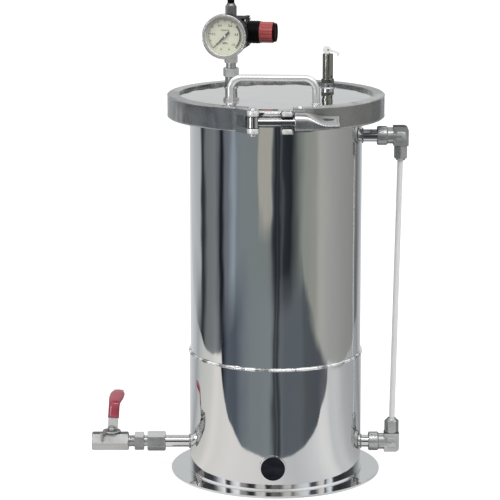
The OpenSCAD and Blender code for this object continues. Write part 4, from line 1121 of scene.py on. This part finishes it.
def build_world(room):
    """World: a white backdrop for the camera, soft light for matt skins, the room for polished ones."""
    world = bpy.data.worlds.new("studio")
    bpy.context.scene.world = world
    world.use_nodes = True
    graph = Graph(world.node_tree)
    graph.nodes.clear()
    path = graph.node("ShaderNodeLightPath").outputs
    sky = graph.span(graph.split(view_direction(graph))["Z"], 0.0, 1.0, SKY_LOW, SKY_HIGH)
    plain = graph.blend(path["Is Camera Ray"], graph.backdrop(grey(255), sky), graph.backdrop(grey(255), 1.0))
    mirrored = graph.backdrop(room_color(graph, room), 1 / STEEL_SHARE)
    graph.node("ShaderNodeOutputWorld", {"Surface": graph.blend(path["Is Glossy Ray"], plain, mirrored)})


def window_share(graph, turn, reach):
    """Share of a pale upright panel that stands far in front of the pot."""
    far = graph.span(reach, WINDOW_REACH - WINDOW_REACH_BLUR, WINDOW_REACH + WINDOW_REACH_BLUR)
    low, high = (0.5 + edge / 360 for edge in WINDOW_EDGES)
    soft = WINDOW_BLUR / 360
    rise = graph.span(turn, low - soft, low + soft)
    fall = graph.span(turn, high - soft, high + soft, 1.0, 0.0)
    return graph.math("MULTIPLY", far, graph.math("MULTIPLY", rise, fall))


def past(graph, value, edge, slant=0.0, sideways=0.0):
    """Distance past an edge that lies at edge + slant * sideways."""
    shift = graph.math("MULTIPLY", sideways, slant)
    return graph.math("SUBTRACT", graph.math("SUBTRACT", value, edge), shift)


def reflected_floor(graph, room, spot, reach):
    """Colour of the floor as polished steel sees it: a table top, then a carpet and the room around it."""
    parts = graph.split(spot)
    x, ahead = parts["X"], ahead_of(graph, parts)
    left = graph.math("MULTIPLY", x, -1.0)
    view_turn = turn_of(graph, view_direction(graph))
    front = graph.span(past(graph, ahead, CARPET_FRONT), -CARPET_BLUR, CARPET_BLUR)
    side = graph.span(past(graph, left, CARPET_LEFT), -CARPET_BLUR, CARPET_BLUR)
    right = graph.span(past(graph, x, CARPET_RIGHT, CARPET_RIGHT_SLANT, ahead),
                       -CARPET_RIGHT_BLUR, CARPET_RIGHT_BLUR)
    off_carpet = graph.math("MAXIMUM", graph.math("MAXIMUM", front, side), right)
    far = graph.mix(off_carpet, around(graph, view_turn, CARPET), room_color(graph, room))
    off_sides = graph.math("MAXIMUM", past(graph, left, TABLE_LEFT), past(graph, x, TABLE_RIGHT))
    off_front = past(graph, ahead, TABLE_FRONT, -TABLE_FRONT_SLANT, graph.math("MAXIMUM", left, 0.0))
    off_table = graph.span(graph.math("MAXIMUM", off_sides, off_front), -TABLE_BLUR, TABLE_BLUR)
    color = graph.mix(off_table, around(graph, turn_of(graph, spot), TABLE), far)
    return graph.mix(window_share(graph, view_turn, reach), color, rgb(152, 151, 143))


def floor_material(room):
    """White floor for the camera, the reflected floor for polished steel, painted shade inside the skirt."""
    mat, graph, shader = material("floor")
    place = graph.place()
    cloud = graph.noise(place, 3.0, 4.0, 0.6)
    graph.fill(shader, {"Base Color": graph.mix(cloud, grey(158), grey(162)), "Roughness": 0.8,
                        "Specular IOR Level": 0.0})
    spot = graph.node("ShaderNodeNewGeometry").outputs["Position"]
    reach = graph.node("ShaderNodeVectorMath", {0: spot}, operation="LENGTH").outputs["Value"]
    mirrored = graph.glow(reflected_floor(graph, room, spot, reach), 1 / STEEL_SHARE)
    pale = graph.node("ShaderNodeAddShader", {0: shader.outputs[0], 1: graph.glow(grey(255), FLOOR_GLOW)})
    dark = graph.node("ShaderNodeBsdfDiffuse", {"Color": grey(FLOOR_FROM_BELOW)})
    path = graph.node("ShaderNodeLightPath").outputs
    plain = graph.blend(path["Is Camera Ray"], dark.outputs[0], pale.outputs[0])
    outside = graph.blend(path["Is Glossy Ray"], plain, mirrored)
    # Painted shade: inside the skirt the floor glows a dark colour for every ray, in place of the skirt's
    # shadow.
    painted_skirt_shade = graph.glow(graph.mix(graph.noise(place, 30.0, 2.0), rgb(14, 14, 18), rgb(50, 50, 58)))
    covered = graph.blend(graph.math("LESS_THAN", reach, INSIDE_SKIRT_R), outside, painted_skirt_shade)
    graph.fill(graph.nodes["Material Output"], {"Surface": covered})
    return mat


def build_floor(room):
    half = FLOOR_SIZE / 2
    mesh = bpy.data.meshes.new("floor")
    corners = [(-half, -half, 0), (half, -half, 0), (half, half, 0), (-half, half, 0)]
    mesh.from_pydata(corners, [], [(0, 1, 2, 3)])
    mesh.materials.append(floor_material(room))
    floor = add_object("floor", mesh)
    floor.location.z = CAD_BOX[0][2] - FLOOR_DROP


def lamp(name, place, aim, size, power):
    """Rectangular lamp that shines from place towards aim."""
    light = bpy.data.lights.new(name, "AREA")
    light.shape = "RECTANGLE"
    light.size, light.size_y = size
    light.energy = power
    obj = add_object(name, light)
    obj.location = place
    obj.rotation_euler = (Vector(aim) - Vector(place)).to_track_quat("-Z", "Y").to_euler()
    return obj


def soft_lamp(name, place, size, power):
    """Lamp that lights everything and shows in no reflection."""
    lamp(name, place, LAMP_AIM, (size, size), power).visible_glossy = False


def strip_lamp(name, place, aim, size, power):
    """Long lamp that lights the small fittings only, so they show the streaks of polished metal."""
    strip = lamp(name, place, aim, size, power)
    strip.light_linking.receiver_collection = bpy.data.collections["fittings"]


def collect_fittings():
    """Collection of everything but the large skins, the relief valve's white lever and the floor."""
    group = bpy.data.collections.new("fittings")
    for obj in bpy.context.scene.objects:
        if obj.type == "MESH" and obj.name not in LARGE_SKINS and obj.name != "floor":
            group.objects.link(obj)


def build_camera():
    data = bpy.data.cameras.new("camera")
    data.lens = CAMERA_LENS
    data.sensor_width = SENSOR
    camera = add_object("camera", data)
    back = Vector((0, -math.cos(CAMERA_PITCH), math.sin(CAMERA_PITCH)))
    camera.location = CAMERA_AIM + back * CAMERA_DISTANCE
    camera.rotation_euler = (math.pi / 2 - CAMERA_PITCH, 0, 0)
    bpy.context.scene.camera = camera


ROOM = room_group()
build_world(ROOM)
build_floor(ROOM)
soft_lamp("key", (-1.2, -1.6, 2.4), 1.6, 34)
soft_lamp("fill", (1.8, -1.0, 1.6), 1.4, 9)
collect_fittings()
strip_lamp("strip_side", (-1.5, -1.3, 0.55), (0.0, 0.0, 0.5), (0.22, 1.3), 7)
strip_lamp("strip_top", (0.1, -0.9, 1.7), (0.1, 0.0, 0.4), (1.6, 0.25), 7)
build_camera()
bpy.context.scene.view_settings.view_transform = "Standard"
